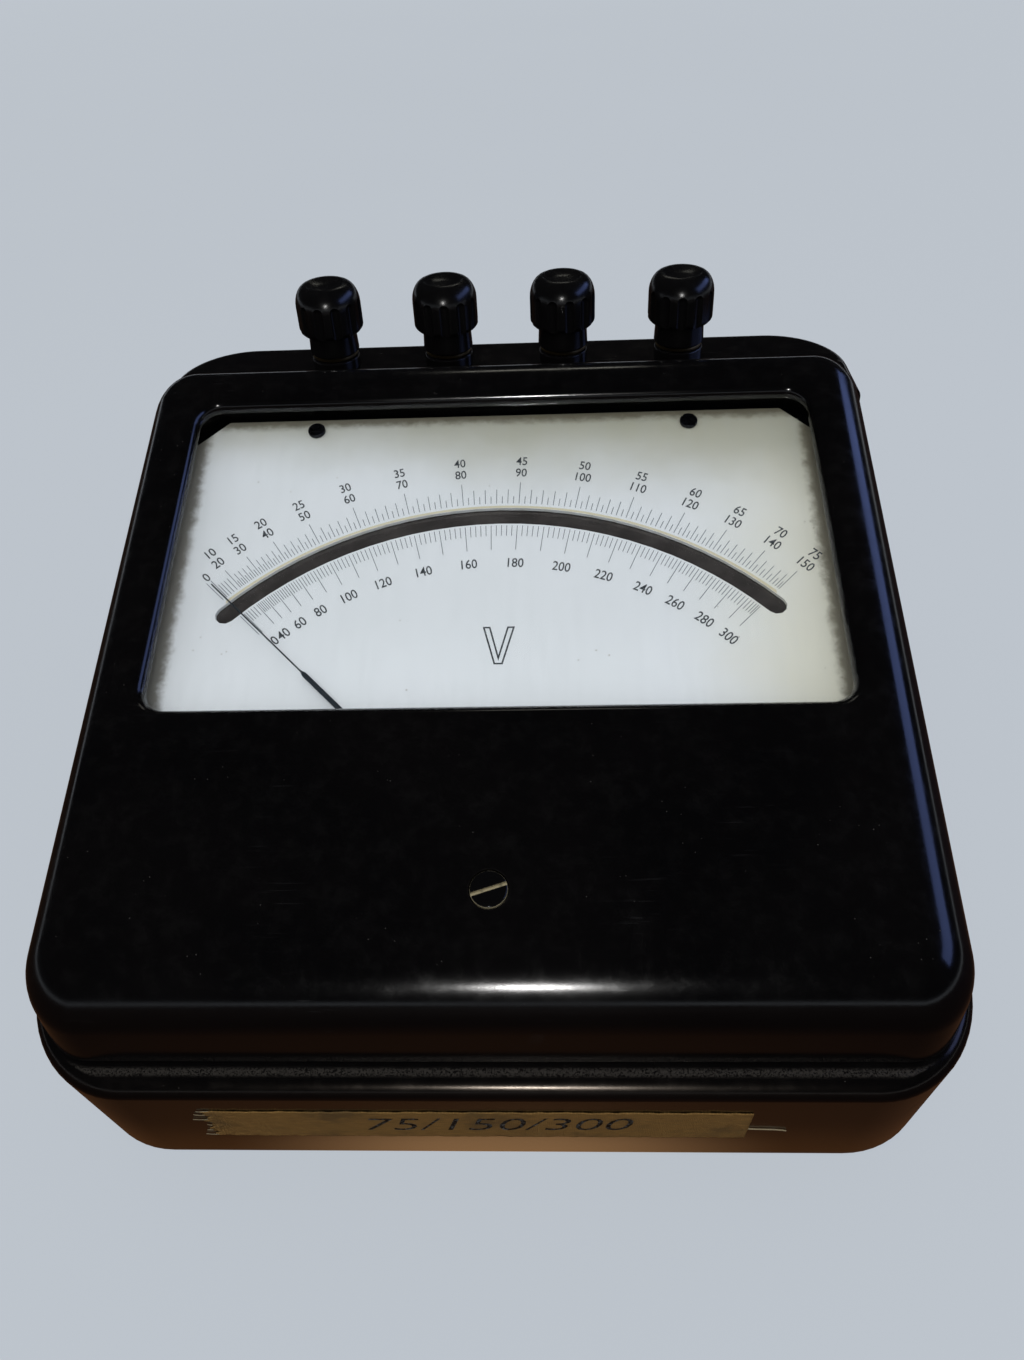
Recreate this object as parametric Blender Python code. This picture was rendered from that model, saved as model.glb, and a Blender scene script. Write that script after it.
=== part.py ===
"""Laboratory voltmeter: a sloping moulded case with a mirror-scale moving-iron movement.

World axes: X to the right, Y to the rear, Z up, metres. The origin is on the table under
the middle of the case. The deck is the plane of the base's rim, which slopes down to the
front, and the pivot frame lies in the dial's top face with its Z along the pointer's axis.
"""
import bmesh
import bpy
import math
from mathutils import Matrix, Vector

# Case: plan sizes are level, and the rim is a plane that rises to the rear
CASE_WIDTH = 0.2076
CASE_DEPTH = 0.219
CASE_SLOPE_DEG = 20.0
FRONT_RISE = 0.042
BASE_WALL = 0.0045
BASE_FLOOR = 0.004
BASE_SHOULDER = 0.0048
BASE_FRONT_DRAFT = 0.0072
BASE_SIDE_DRAFT = 0.0006
BASE_REAR_DRAFT = 0.003
BASE_TOP_CORNER = 0.023
BASE_FOOT_CORNER = 0.023
BASE_REAR_CORNER = 0.023
BASE_FOOT_EDGE = 0.0012
RIM_LEDGE = 0.006
SHELF_HEIGHT = 0.1133
SHELF_DEPTH = 0.0415
RISER_DRAFT = 0.0006

# Cover: its outside stands back from the base's shoulder
COVER_SIDE_SETBACK = 0.0041
COVER_FRONT_SETBACK = 0.0053
COVER_REAR_GAP = 0.001
COVER_RISE = 0.0227
COVER_WALL = 0.004
COVER_ROUND = 0.013
COVER_CORNER = 0.013
GROOVE_HEIGHT = 0.001
GROOVE_DEPTH = 0.0015

# Window, in the pivot frame: margins run from its edges to the cover's side and rear
WINDOW_SIDE_MARGIN = 0.0168
WINDOW_FRONT = 0.0350
WINDOW_REAR_MARGIN = 0.01243
WINDOW_CORNER = 0.006
GLASS_LAP = 0.0027
GLASS_THICK = 0.0024
CEMENT_WIDTH = 0.0022
CEMENT_HEIGHT = 0.0018

# Dial, in the pivot frame: the pivot stands PIVOT_RUN from the case's front along the deck
PIVOT_RUN = 0.0461
DIAL_RISE = 0.0127
DIAL_THICK = 0.001
DIAL_SIDE_LAP = 0.0046
DIAL_FRONT_LAP = 0.009
DIAL_REAR_LAP = 0.0013
DIAL_CLIP = 0.0105
SLOT_WIDTH = 0.0052
SLOT_SIDE_MARGIN = 0.0118
SLOT_REAR_MARGIN = 0.0314
SLOT_HALF_ANGLE_DEG = 46.5
MIRROR_LAP = 0.0018
MIRROR_THICK = 0.0015
DIAL_SCREW_SIDE_INSET = 0.0358
DIAL_SCREW_REAR_INSET = 0.0044
DIAL_PEG_SIDE_INSET = 0.0275
DIAL_PEG_FRONT_INSET = 0.0040
PILLAR_RADIUS = 0.003
DIAL_SCREW_RADIUS = 0.00125
DIAL_SCREW_LENGTH = 0.0065
DIAL_HEAD_RADIUS = 0.0024
DIAL_HEAD_HEIGHT = 0.0009

# Carrier plate, clamped between the base's columns and the cover's bosses
CARRIER_THICK = 0.0015
CARRIER_MARGIN = 0.0012
CARRIER_BORE = 0.0285
COLUMN_RADIUS = 0.005
BOSS_RADIUS = 0.004
BOSS_TOP_DROP = 0.003
SCREW_INSET_X = 0.012
SCREW_INSET_FRONT = 0.0127
SCREW_INSET_REAR = 0.0107
CASE_SCREW_RADIUS = 0.0018
CASE_SCREW_ENGAGE = 0.012
CASE_HEAD_RADIUS = 0.0035
CASE_HEAD_HEIGHT = 0.0022
COUNTERBORE_DEPTH = 0.0034

# Movement, in the pivot frame; levels are heights over the dial's top face
STRAP_WIDTH = 0.007
STRAP_THICK = 0.0014
STRAP_LEG_X = 0.0310
STRAP_FOOT_X = 0.0400
STRAP_SCREW_X = 0.0355
UPPER_BRIDGE_LEVEL = 0.0030
LOWER_STRAP_WIDTH = 0.016
LOWER_BRIDGE_LEVEL = -0.0440
STRAP_SCREW_RADIUS = 0.0012
STRAP_HEAD_RADIUS = 0.0022
STRAP_HEAD_HEIGHT = 0.0013
STRAP_NUT_HEIGHT = 0.0018
JEWEL_RADIUS = 0.0016
JEWEL_CUP_DEPTH = 0.0004
JEWEL_HEAD = 0.0018
STAFF_RADIUS = 0.0010
STAFF_CONE = 0.0006
STAFF_TOP_LEVEL = -0.0007
STAFF_FOOT_LEVEL = -0.0431
COLLET_RADIUS = 0.0016
COLLET_LEVEL = -0.0026
COLLET_HEIGHT = 0.0018
HUB_WALL = 0.0011

# Air damping on the lower bridge
CHAMBER_RADIUS = 0.022
CHAMBER_WALL = 0.0012
CHAMBER_HEIGHT = 0.0082
CHAMBER_RIB_THICK = 0.0012
VANE_THICK = 0.0006
VANE_CLEAR = 0.0006
VANE_ANGLE_DEG = 120.0

# Coil and irons
BOBBIN_RADIUS = 0.0215
BOBBIN_BORE = 0.0110
BOBBIN_WALL = 0.0014
BOBBIN_FLANGE = 0.0014
BOBBIN_HEIGHT = 0.0235
COIL_DEPTH = 0.0064
FIXED_IRON_THICK = 0.0009
FIXED_IRON_ARC_DEG = 110.0
FIXED_IRON_CENTRE_DEG = -75.0
MOVING_IRON_RADIUS = 0.0082
MOVING_IRON_THICK = 0.0008
MOVING_IRON_ARC_DEG = 50.0
MOVING_IRON_CENTRE_DEG = -90.0
IRON_INSET = 0.003

# Hairspring
SPRING_TURNS = 4.0
SPRING_INNER = 0.00205
SPRING_OUTER = 0.0056
SPRING_STRIP = 0.00022
SPRING_HEIGHT = 0.0008
SPRING_LEVEL = -0.0031

# Pointer at rest on the scale's zero, left of the middle
ZERO_ANGLE_DEG = 44.8
POINTER_LENGTH = 0.104
POINTER_LEVEL = 0.0022
POINTER_THICK = 0.0005
POINTER_ROOT_WIDTH = 0.0018
POINTER_BAR_WIDTH = 0.0012
POINTER_BAR_END = 0.0660
POINTER_TIP_WIDTH = 0.0003
POINTER_CRANK_START = 0.012
POINTER_CRANK_END = 0.019
POINTER_HUB_LEVEL = -0.0072
POINTER_HUB_HEIGHT = 0.0016
POINTER_HUB_RADIUS = 0.0030
TAIL_LENGTH = 0.0150
TAIL_WIDTH = 0.0014
TAIL_SPREAD_DEG = 42.0
WEIGHT_RADIUS = 0.0016
WEIGHT_LENGTH = 0.0035
WEIGHT_PLACE = 0.0105
STOP_RADIUS = 0.0006
STOP_REACH = 0.0330
STOP_ANGLE_DEG = 54.0
STOP_LEVEL = 0.0031

# Zero adjuster in the cover, ahead of the pivot
ADJUST_SETBACK = 0.0095
ADJUST_HEAD_RADIUS = 0.0040
ADJUST_HEAD_HEIGHT = 0.0019
ADJUST_RECESS = 0.0018
ADJUST_SHANK_RADIUS = 0.0025
ADJUST_SHANK_BELOW = 0.0011
ADJUST_PIN_RADIUS = 0.0008
ADJUST_PIN_LENGTH = 0.0022
ADJUST_THROW = 0.0010
ADJUST_SLOT_WIDTH = 0.0009
ADJUST_SLOT_DEPTH = 0.0010
ADJUST_SLOT_ANGLE_DEG = 18.0
LEVER_THICK = 0.0008
LEVER_RING_RADIUS = 0.0036
LEVER_ARM_WIDTH = 0.0046
LEVER_ARM_END = 0.0128
LEVER_FORK_WIDTH = 0.0022
LEVER_FORK_START = 0.0078
LEVER_STUD_RADIUS = 0.00045

# Terminals on the shelf, in one row
TERMINAL_COUNT = 4
TERMINAL_PITCH = 0.0352
TERMINAL_SETBACK = 0.0171
COLLAR_RADIUS = 0.0073
COLLAR_HEIGHT = 0.0041
COLLAR_SPIGOT = 0.0040
STUD_RADIUS = 0.0022
STUD_HEIGHT = 0.0225
STUD_HEAD_RADIUS = 0.0050
STUD_HEAD_HEIGHT = 0.0030
CLAMP_RADIUS = 0.0070
CLAMP_THICK = 0.0010
CAP_NECK_RADIUS = 0.0072
CAP_FLARE = 0.0003
CAP_NECK_HEIGHT = 0.0062
CAP_HEAD_RADIUS = 0.0097
CAP_HEIGHT = 0.0204
CAP_SKIRT_STEP = 0.0010
CAP_DOME = 0.0062
CAP_CREST_RADIUS = 0.0058
CAP_DISH = 0.0012
CAP_FLUTES = 12
CAP_FLUTE_DEPTH = 0.0008
CAP_CROWN = 0.0026
TAG_THICK = 0.0006
TAG_RADIUS = 0.0045
TAG_LENGTH = 0.0110

# Series resistors on their board in the rear of the base
BOARD_HALF = 0.062
BOARD_DEPTH = 0.052
BOARD_THICK = 0.0025
BOARD_SETBACK = 0.0235
BOARD_SCREW_INSET = 0.006
BOARD_SCREW_RADIUS = 0.0014
BOARD_SCREW_GRIP = 0.0022
BOARD_HEAD_RADIUS = 0.0028
BOARD_HEAD_HEIGHT = 0.0016
RESISTOR_COUNT = 3
RESISTOR_PITCH = 0.036
RESISTOR_RADIUS = 0.0125
RESISTOR_HEIGHT = 0.036
RESISTOR_FLANGE = 0.0018
RESISTOR_WINDING = 0.0107
LEAD_RADIUS = 0.0009
LEAD_BOW = 0.030

# Cloth strip stuck on the base's front wall
STRIP_LENGTH = 0.120
STRIP_HEIGHT = 0.0205
STRIP_THICK = 0.00035
STRIP_OFFSET = -0.0045
STRIP_RISE = 0.0097

# Fits and mesh fineness
GAP = 0.0003
OVERRUN = 0.003
MERGE = 0.000001
CORNER_STEPS = 5
ROUND_STEPS = 4
TURN_STEPS = 20
MIDDLE_STEPS = 16
SMALL_STEPS = 10
ARC_STEPS = 26
LEAD_STEPS = 11
LEAD_SIDES = 6
SPRING_STEPS = 13
SHARP_DEG = 32.0

# Places that follow from the sizes above
SLOPE = math.radians(CASE_SLOPE_DEG)
FRONT_Y = -CASE_DEPTH / 2
REAR_Y = CASE_DEPTH / 2
SHELF_FRONT_Y = REAR_Y - SHELF_DEPTH
COVER_HALF = CASE_WIDTH / 2 - COVER_SIDE_SETBACK
COVER_FRONT_Y = FRONT_Y + COVER_FRONT_SETBACK
COVER_REAR_Y = SHELF_FRONT_Y - COVER_REAR_GAP
COVER_SKIN = COVER_WALL * math.cos(SLOPE)
COVER_TOP = COVER_RISE - DIAL_RISE
CEILING = COVER_TOP - COVER_SKIN
DECK_RUN = (COVER_REAR_Y - FRONT_Y) / math.cos(SLOPE)
WINDOW_HALF = COVER_HALF - WINDOW_SIDE_MARGIN
WINDOW_REAR = DECK_RUN - PIVOT_RUN - WINDOW_REAR_MARGIN
DIAL_HALF = WINDOW_HALF + DIAL_SIDE_LAP
DIAL_FRONT = WINDOW_FRONT - DIAL_FRONT_LAP
DIAL_REAR = WINDOW_REAR + DIAL_REAR_LAP
DIAL_SCREW_X = DIAL_HALF - DIAL_SCREW_SIDE_INSET
DIAL_SCREW_Y = DIAL_REAR - DIAL_SCREW_REAR_INSET
DIAL_PEG_X = DIAL_HALF - DIAL_PEG_SIDE_INSET
DIAL_PEG_Y = DIAL_FRONT + DIAL_PEG_FRONT_INSET
SLOT_REACH = (WINDOW_HALF - SLOT_SIDE_MARGIN) / math.sin(math.radians(SLOT_HALF_ANGLE_DEG))
SLOT_RADIUS = min(SLOT_REACH, WINDOW_REAR - SLOT_REAR_MARGIN) - SLOT_WIDTH
RIM_LEVEL = -DIAL_RISE
CARRIER_FOOT = RIM_LEVEL + GAP
CARRIER_TOP = CARRIER_FOOT + CARRIER_THICK
CHAMBER_FOOT = LOWER_BRIDGE_LEVEL + GAP
BOBBIN_FOOT = CHAMBER_FOOT + CHAMBER_HEIGHT + GAP
BOARD_REAR_Y = REAR_Y - BOARD_SETBACK
BOARD_TOP = BASE_FLOOR + GAP + BOARD_THICK

DECK = Matrix.Translation((0, FRONT_Y, FRONT_RISE)) @ Matrix.Rotation(SLOPE, 4, "X")
PIVOT = DECK @ Matrix.Translation((0, PIVOT_RUN, DIAL_RISE))


def clear_scene():
    """Empty the file of objects."""
    for item in list(bpy.data.objects):
        bpy.data.objects.remove(item, do_unlink=True)


def material(name, colour, roughness, metallic=0.0):
    """A plain Principled material."""
    result = bpy.data.materials.new(name)
    result.use_nodes = True
    shader = result.node_tree.nodes["Principled BSDF"]
    shader.inputs["Base Color"].default_value = (*colour, 1.0)
    shader.inputs["Roughness"].default_value = roughness
    shader.inputs["Metallic"].default_value = metallic
    return result


def make_materials():
    """One material for each kind of surface."""
    return {
        "bakelite": material("black_bakelite", (0.012, 0.011, 0.012), 0.18),
        "rubber": material("black_terminal_moulding", (0.010, 0.010, 0.011), 0.22),
        "glass": material("window_glass", (0.85, 0.92, 0.92), 0.02),
        "cement": material("glazing_cement", (0.55, 0.50, 0.38), 0.75),
        "dial": material("dial_enamel", (0.74, 0.78, 0.78), 0.55),
        "mirror": material("scale_mirror", (0.10, 0.09, 0.08), 0.06, 1.0),
        "steel": material("blued_steel", (0.10, 0.11, 0.13), 0.35, 0.9),
        "plate": material("cadmium_plate", (0.55, 0.54, 0.50), 0.38, 1.0),
        "brass": material("brass", (0.62, 0.47, 0.22), 0.32, 1.0),
        "pointer": material("pointer_black", (0.03, 0.035, 0.04), 0.4),
        "aluminium": material("aluminium", (0.72, 0.73, 0.74), 0.35, 1.0),
        "iron": material("soft_iron", (0.28, 0.28, 0.29), 0.45, 1.0),
        "fibre": material("red_fibre", (0.30, 0.08, 0.05), 0.6),
        "copper": material("enamelled_copper", (0.36, 0.13, 0.06), 0.35, 0.8),
        "board": material("laminate_board", (0.30, 0.17, 0.07), 0.5),
        "cotton": material("cotton_sleeve", (0.33, 0.25, 0.13), 0.9),
        "cloth": material("cloth_strip", (0.42, 0.36, 0.22), 0.9),
    }


def finish_mesh(name, build):
    """Turn a bmesh into a smooth-shaded mesh with outward faces."""
    bmesh.ops.remove_doubles(build, verts=build.verts, dist=MERGE)
    bmesh.ops.recalc_face_normals(build, faces=build.faces)
    mesh = bpy.data.meshes.new(name)
    build.to_mesh(mesh)
    build.free()
    mesh.shade_smooth()
    mesh.set_sharp_from_angle(angle=math.radians(SHARP_DEG))
    return mesh


def link(name, mesh, place=None):
    """Put a mesh in the scene at a place."""
    item = bpy.data.objects.new(name, mesh)
    bpy.context.collection.objects.link(item)
    if place is not None:
        item.matrix_world = place
    return item


def piece(name, mesh, look, place=None):
    """Link a mesh as a named piece with its material."""
    if not mesh.materials:
        mesh.materials.append(look)
    return link(name, mesh, place)


def cut(item, name, mesh, place=None, operation="DIFFERENCE"):
    """Add a live Boolean whose tool is a hidden object."""
    tool = link(name, mesh, place)
    tool.hide_render = True
    tool.display_type = "WIRE"
    change = item.modifiers.new(name, "BOOLEAN")
    change.operation = operation
    change.solver = "EXACT"
    change.object = tool


def join(item, name, mesh, place=None):
    """Fuse a mesh with a piece."""
    cut(item, name, mesh, place, "UNION")


def spin(build, profile, steps, closed, centre=(0, 0)):
    """Turn a profile of (radius, height) about Z; a closed one makes a tube."""
    verts = [build.verts.new((centre[0] + radius, centre[1], height)) for radius, height in profile]
    edges = [build.edges.new(pair) for pair in zip(verts, verts[1:])]
    if closed:
        edges.append(build.edges.new((verts[-1], verts[0])))
    bmesh.ops.spin(build, geom=verts + edges, cent=(*centre, 0), axis=(0, 0, 1), dvec=(0, 0, 0),
                   angle=math.tau, steps=steps, use_merge=True)


def turned(name, profile, steps=TURN_STEPS, closed=False):
    """A mesh turned about Z."""
    build = bmesh.new()
    spin(build, profile, steps, closed)
    return finish_mesh(name, build)


def tube_profile(inner, outer, low, high):
    """Section of a plain tube."""
    return ((inner, low), (outer, low), (outer, high), (inner, high))


def bar(build, radius, low, high, centre=(0, 0), steps=SMALL_STEPS):
    """A round bar about Z."""
    spin(build, ((0, low), (radius, low), (radius, high), (0, high)), steps, False, centre)


def bars(name, places, radius, low, high, steps=SMALL_STEPS):
    """A mesh of equal round bars."""
    build = bmesh.new()
    for place in places:
        bar(build, radius, low, high, place, steps)
    return finish_mesh(name, build)


def screw_profile(low, radius, seat, head_radius, head_height):
    """Section of a cheese-head screw that points down."""
    return ((0, low), (radius, low), (radius, seat), (head_radius, seat),
            (head_radius, seat + head_height), (0, seat + head_height))


def skin(build, rings, closed=False):
    """Join rings of equal count with quads."""
    loops = [[build.verts.new(point) for point in ring] for ring in rings]
    pairs = list(zip(loops, loops[1:]))
    if closed:
        pairs.append((loops[-1], loops[0]))
    for lower, upper in pairs:
        for i, vert in enumerate(lower):
            j = (i + 1) % len(lower)
            build.faces.new((vert, lower[j], upper[j], upper[i]))
    return loops


def loft(build, rings):
    """A solid through rings with flat ends."""
    loops = skin(build, rings)
    build.faces.new(list(reversed(loops[0])))
    build.faces.new(loops[-1])


def prism(name, outline, low, high):
    """A mesh extruded between two heights."""
    build = bmesh.new()
    loft(build, [[(x, y, low) for x, y in outline], [(x, y, high) for x, y in outline]])
    return finish_mesh(name, build)


def box_outline(left, right, front, rear):
    """Four corners, counter-clockwise."""
    return ((left, front), (right, front), (right, rear), (left, rear))


def circle(radius, centre, steps=SMALL_STEPS):
    """Points round a centre."""
    turns = [math.tau * i / steps for i in range(steps)]
    return [(centre[0] + radius * math.cos(turn), centre[1] + radius * math.sin(turn)) for turn in turns]


def rounded_outline(half, front, rear, front_radius, rear_radius, stations=()):
    """A rounded rectangle from its front right corner on, with extra points on both sides."""
    corners = ((half - front_radius, front + front_radius, front_radius, -90),
               (half - rear_radius, rear - rear_radius, rear_radius, 0),
               (rear_radius - half, rear - rear_radius, rear_radius, 90),
               (front_radius - half, front + front_radius, front_radius, 180))
    points = []
    for index, (x, y, radius, start) in enumerate(corners):
        for step in range(CORNER_STEPS + 1):
            angle = math.radians(start + 90 * step / CORNER_STEPS)
            points.append((x + radius * math.cos(angle), y + radius * math.sin(angle)))
        if index == 0:
            points += [(half, station) for station in stations]
        if index == 2:
            points += [(-half, station) for station in reversed(stations)]
    return points


def dial_point(radius, angle):
    """Point on the dial; the angle runs clockwise from the pivot's +Y."""
    return (radius * math.sin(angle), radius * math.cos(angle))


def arc_outline(inner, outer, start_deg, end_deg, steps):
    """A band between two arcs about the pivot."""
    angles = [math.radians(start_deg + (end_deg - start_deg) * i / steps) for i in range(steps + 1)]
    return [dial_point(outer, a) for a in angles] + [dial_point(inner, a) for a in reversed(angles)]


def slot_outline(middle, half_width, limit):
    """An arc slot with round ends."""
    angles = [limit * (2 * i / ARC_STEPS - 1) for i in range(ARC_STEPS + 1)]
    outer = [dial_point(middle + half_width, angle) for angle in angles]
    inner = [dial_point(middle - half_width, angle) for angle in reversed(angles)]
    x, y = dial_point(middle, limit)
    turns = [limit + math.pi * i / CORNER_STEPS for i in range(1, CORNER_STEPS)]
    right = [(x + half_width * math.sin(turn), y + half_width * math.cos(turn)) for turn in turns]
    left = [(-px, py) for px, py in reversed(right)]
    return outer + right + inner + left


def quarter_turns():
    """Angles along a quarter round."""
    return [math.radians(90) * i / ROUND_STEPS for i in range(ROUND_STEPS + 1)]


def rim_height(y):
    """Height of the rim's plane over the table."""
    return FRONT_RISE + (y - FRONT_Y) * math.tan(SLOPE)


def top_height(y):
    """Height of the cover's top plane over the table."""
    return rim_height(y) + COVER_RISE / math.cos(SLOPE)


def stepped_body(rings):
    """Close a skin whose top has a sloping part, a riser and a level part."""
    build = bmesh.new()
    loops = skin(build, rings)
    build.faces.new(list(reversed(loops[0])))
    top = loops[-1]
    low_right = CORNER_STEPS + 1
    high_right = low_right + 1
    high_left = len(top) - high_right - 1
    low_left = high_left + 1
    build.faces.new(top[low_left:] + top[:high_right])
    build.faces.new((top[low_right], top[high_right], top[high_left], top[low_left]))
    build.faces.new(top[high_right:low_left])
    return build


def base_outer_mesh():
    """Outside of the base: a drafted tub whose shoulder follows the sloping rim."""
    stations = (SHELF_FRONT_Y, SHELF_FRONT_Y + RISER_DRAFT)
    half = CASE_WIDTH / 2

    def foot(inset, height):
        outline = rounded_outline(half - BASE_SIDE_DRAFT - inset, FRONT_Y + BASE_FRONT_DRAFT + inset,
                                  REAR_Y - BASE_REAR_DRAFT - inset, BASE_FOOT_CORNER - inset,
                                  BASE_FOOT_CORNER - inset, stations)
        return [(x, y, height) for x, y in outline]

    def top(y):
        return SHELF_HEIGHT if y > SHELF_FRONT_Y + RISER_DRAFT / 2 else rim_height(y)

    def shoulder(turn):
        inset = BASE_SHOULDER * (1 - math.cos(turn))
        drop = BASE_SHOULDER * (1 - math.sin(turn))
        outline = rounded_outline(half - inset, FRONT_Y + inset, REAR_Y - inset,
                                  BASE_TOP_CORNER - inset, BASE_REAR_CORNER - inset, stations)
        return [(x, y, top(y) - drop) for x, y in outline]

    rings = [foot(BASE_FOOT_EDGE, 0), foot(0, BASE_FOOT_EDGE)]
    rings += [shoulder(turn) for turn in quarter_turns()]
    return finish_mesh("base_case", stepped_body(rings))


def rear_ceiling():
    """Height of the cavity's level part: under the rim's ledge and under the shelf's wall."""
    return min(rim_height(COVER_REAR_Y - COVER_WALL) - RIM_LEDGE, SHELF_HEIGHT - BASE_WALL)


def cavity_mesh():
    """Inside of the base: open under the cover, with a thick rim for the cover's walls."""
    edge = COVER_REAR_Y - COVER_WALL
    stations = (edge - RISER_DRAFT, edge)
    half = CASE_WIDTH / 2
    corner = BASE_FOOT_CORNER - BASE_WALL

    def ring(sides, front, rear, open_rise, closed_rise):
        outline = rounded_outline(sides, front, rear, corner, corner, stations)
        return [(x, y, rear_ceiling() + closed_rise if y > edge - RISER_DRAFT / 2
                 else rim_height(y) + open_rise) for x, y in outline]

    floor = rounded_outline(half - BASE_SIDE_DRAFT - BASE_WALL, FRONT_Y + BASE_FRONT_DRAFT + BASE_WALL,
                            REAR_Y - BASE_REAR_DRAFT - BASE_WALL, corner, corner, stations)
    mouth_half = COVER_HALF - COVER_WALL
    mouth_front = COVER_FRONT_Y + COVER_WALL
    mouth_rear = REAR_Y - BASE_WALL - BASE_SHOULDER
    rings = [[(x, y, BASE_FLOOR) for x, y in floor],
             ring(half - BASE_WALL, FRONT_Y + BASE_WALL, REAR_Y - BASE_WALL, -RIM_LEDGE, -RIM_LEDGE),
             ring(mouth_half, mouth_front, mouth_rear, -RIM_LEDGE, -RIM_LEDGE),
             ring(mouth_half, mouth_front, mouth_rear, OVERRUN, 0)]
    return finish_mesh("cavity", stepped_body(rings))


def screw_places():
    """Plan places of the case screws: front left, front right, rear left, rear right."""
    x = COVER_HALF - SCREW_INSET_X
    return [(side * x, y) for y in (COVER_FRONT_Y + SCREW_INSET_FRONT, COVER_REAR_Y - SCREW_INSET_REAR)
            for side in (-1, 1)]


def terminal_places():
    """Plan places of the terminals, left to right."""
    first = -TERMINAL_PITCH * (TERMINAL_COUNT - 1) / 2
    return [(first + TERMINAL_PITCH * i, REAR_Y - TERMINAL_SETBACK) for i in range(TERMINAL_COUNT)]


def board_screw_places():
    """Plan places of the resistor board's two screws."""
    x = BOARD_HALF - BOARD_SCREW_INSET
    return [(-x, BOARD_REAR_Y - BOARD_DEPTH / 2), (x, BOARD_REAR_Y - BOARD_DEPTH / 2)]


def make_base(looks):
    """The moulded base with its four columns, screw ways and terminal holes."""
    base = piece("base_case", base_outer_mesh(), looks["bakelite"])
    cut(base, "base_cavity", cavity_mesh())
    pocket = rounded_outline(COVER_HALF - COVER_WALL, SHELF_FRONT_Y + BASE_WALL,
                             REAR_Y - BASE_WALL - BASE_SHOULDER - RISER_DRAFT, BASE_WALL, BASE_REAR_CORNER / 2)
    cut(base, "shelf_pocket", prism("shelf_pocket", pocket, rear_ceiling() - OVERRUN, SHELF_HEIGHT - BASE_WALL))
    columns = bmesh.new()
    for place in screw_places():
        outline = circle(COLUMN_RADIUS, place)
        loft(columns, [[(x, y, BASE_FLOOR / 2) for x, y in outline], [(x, y, rim_height(y)) for x, y in outline]])
    join(base, "base_columns", finish_mesh("base_columns", columns))
    ways = bmesh.new()
    shank = CASE_SCREW_RADIUS + GAP
    head = CASE_HEAD_RADIUS + GAP
    for x, y in screw_places():
        high = rim_height(y) + OVERRUN
        profile = ((0, -OVERRUN), (head, -OVERRUN), (head, COUNTERBORE_DEPTH), (shank, COUNTERBORE_DEPTH),
                   (shank, high), (0, high))
        spin(ways, profile, SMALL_STEPS, False, (x, y))
    for place in terminal_places():
        bar(ways, COLLAR_SPIGOT + GAP, SHELF_HEIGHT - BASE_WALL - OVERRUN, SHELF_HEIGHT + OVERRUN, place)
    for place in board_screw_places():
        bar(ways, BOARD_SCREW_RADIUS + GAP, BASE_FLOOR - BOARD_SCREW_GRIP - GAP, BASE_FLOOR + OVERRUN, place)
    cut(base, "base_ways", finish_mesh("base_ways", ways))


def cover_mesh():
    """The cover as one closed skin: foot, wall, round, top, window lip, ceiling, inner wall."""
    def plan(inset, height):
        corner = max(COVER_CORNER - inset, MERGE)
        outline = rounded_outline(COVER_HALF - inset, COVER_FRONT_Y + inset, COVER_REAR_Y - inset, corner, corner)
        return [(x, y, height(y)) for x, y in outline]

    def round_ring(radius, turn):
        inset = COVER_ROUND - radius * math.cos(turn)
        drop = COVER_ROUND - radius * math.sin(turn)
        return plan(inset, lambda y: top_height(y) - drop)

    def lip(turn):
        grow = COVER_SKIN * (1 - math.sin(turn))
        level = COVER_TOP - COVER_SKIN * (1 - math.cos(turn))
        corner = WINDOW_CORNER + grow
        outline = rounded_outline(WINDOW_HALF + grow, WINDOW_FRONT - grow, WINDOW_REAR + grow, corner, corner)
        return [PIVOT @ Vector((x, y, level)) for x, y in outline]

    rings = [plan(COVER_WALL, lambda y: rim_height(y) + GAP),
             plan(GROOVE_DEPTH, lambda y: rim_height(y) + GAP),
             plan(GROOVE_DEPTH, lambda y: rim_height(y) + GROOVE_HEIGHT),
             plan(0, lambda y: rim_height(y) + GROOVE_HEIGHT)]
    rings += [round_ring(COVER_ROUND, turn) for turn in quarter_turns()]
    rings += [lip(turn) for turn in quarter_turns()]
    rings += [round_ring(COVER_ROUND - COVER_WALL, turn) for turn in reversed(quarter_turns())]
    build = bmesh.new()
    skin(build, rings, closed=True)
    return finish_mesh("cover", build)


def make_cover(looks):
    """The cover with its four bosses and the stepped hole for the zero adjuster."""
    cover = piece("cover", cover_mesh(), looks["bakelite"])
    bosses = bmesh.new()
    ways = bmesh.new()
    seat = (GAP + CARRIER_THICK + GAP) / math.cos(SLOPE)
    for place in screw_places():
        outline = circle(BOSS_RADIUS, place)
        loft(bosses, [[(x, y, rim_height(y) + seat) for x, y in outline],
                      [(x, y, top_height(y) - BOSS_TOP_DROP) for x, y in outline]])
        rim = rim_height(place[1])
        bar(ways, CASE_SCREW_RADIUS + GAP, rim - OVERRUN, rim + CASE_SCREW_ENGAGE + GAP, place)
    join(cover, "cover_bosses", finish_mesh("cover_bosses", bosses))
    cut(cover, "boss_ways", finish_mesh("boss_ways", ways))
    shank = ADJUST_SHANK_RADIUS + GAP
    head = ADJUST_HEAD_RADIUS + GAP
    profile = ((0, CEILING - OVERRUN), (shank, CEILING - OVERRUN), (shank, COVER_TOP - ADJUST_RECESS),
               (head, COVER_TOP - ADJUST_RECESS), (head, COVER_TOP + OVERRUN), (0, COVER_TOP + OVERRUN))
    cut(cover, "adjuster_hole", turned("adjuster_hole", profile), adjuster_place())


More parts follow.
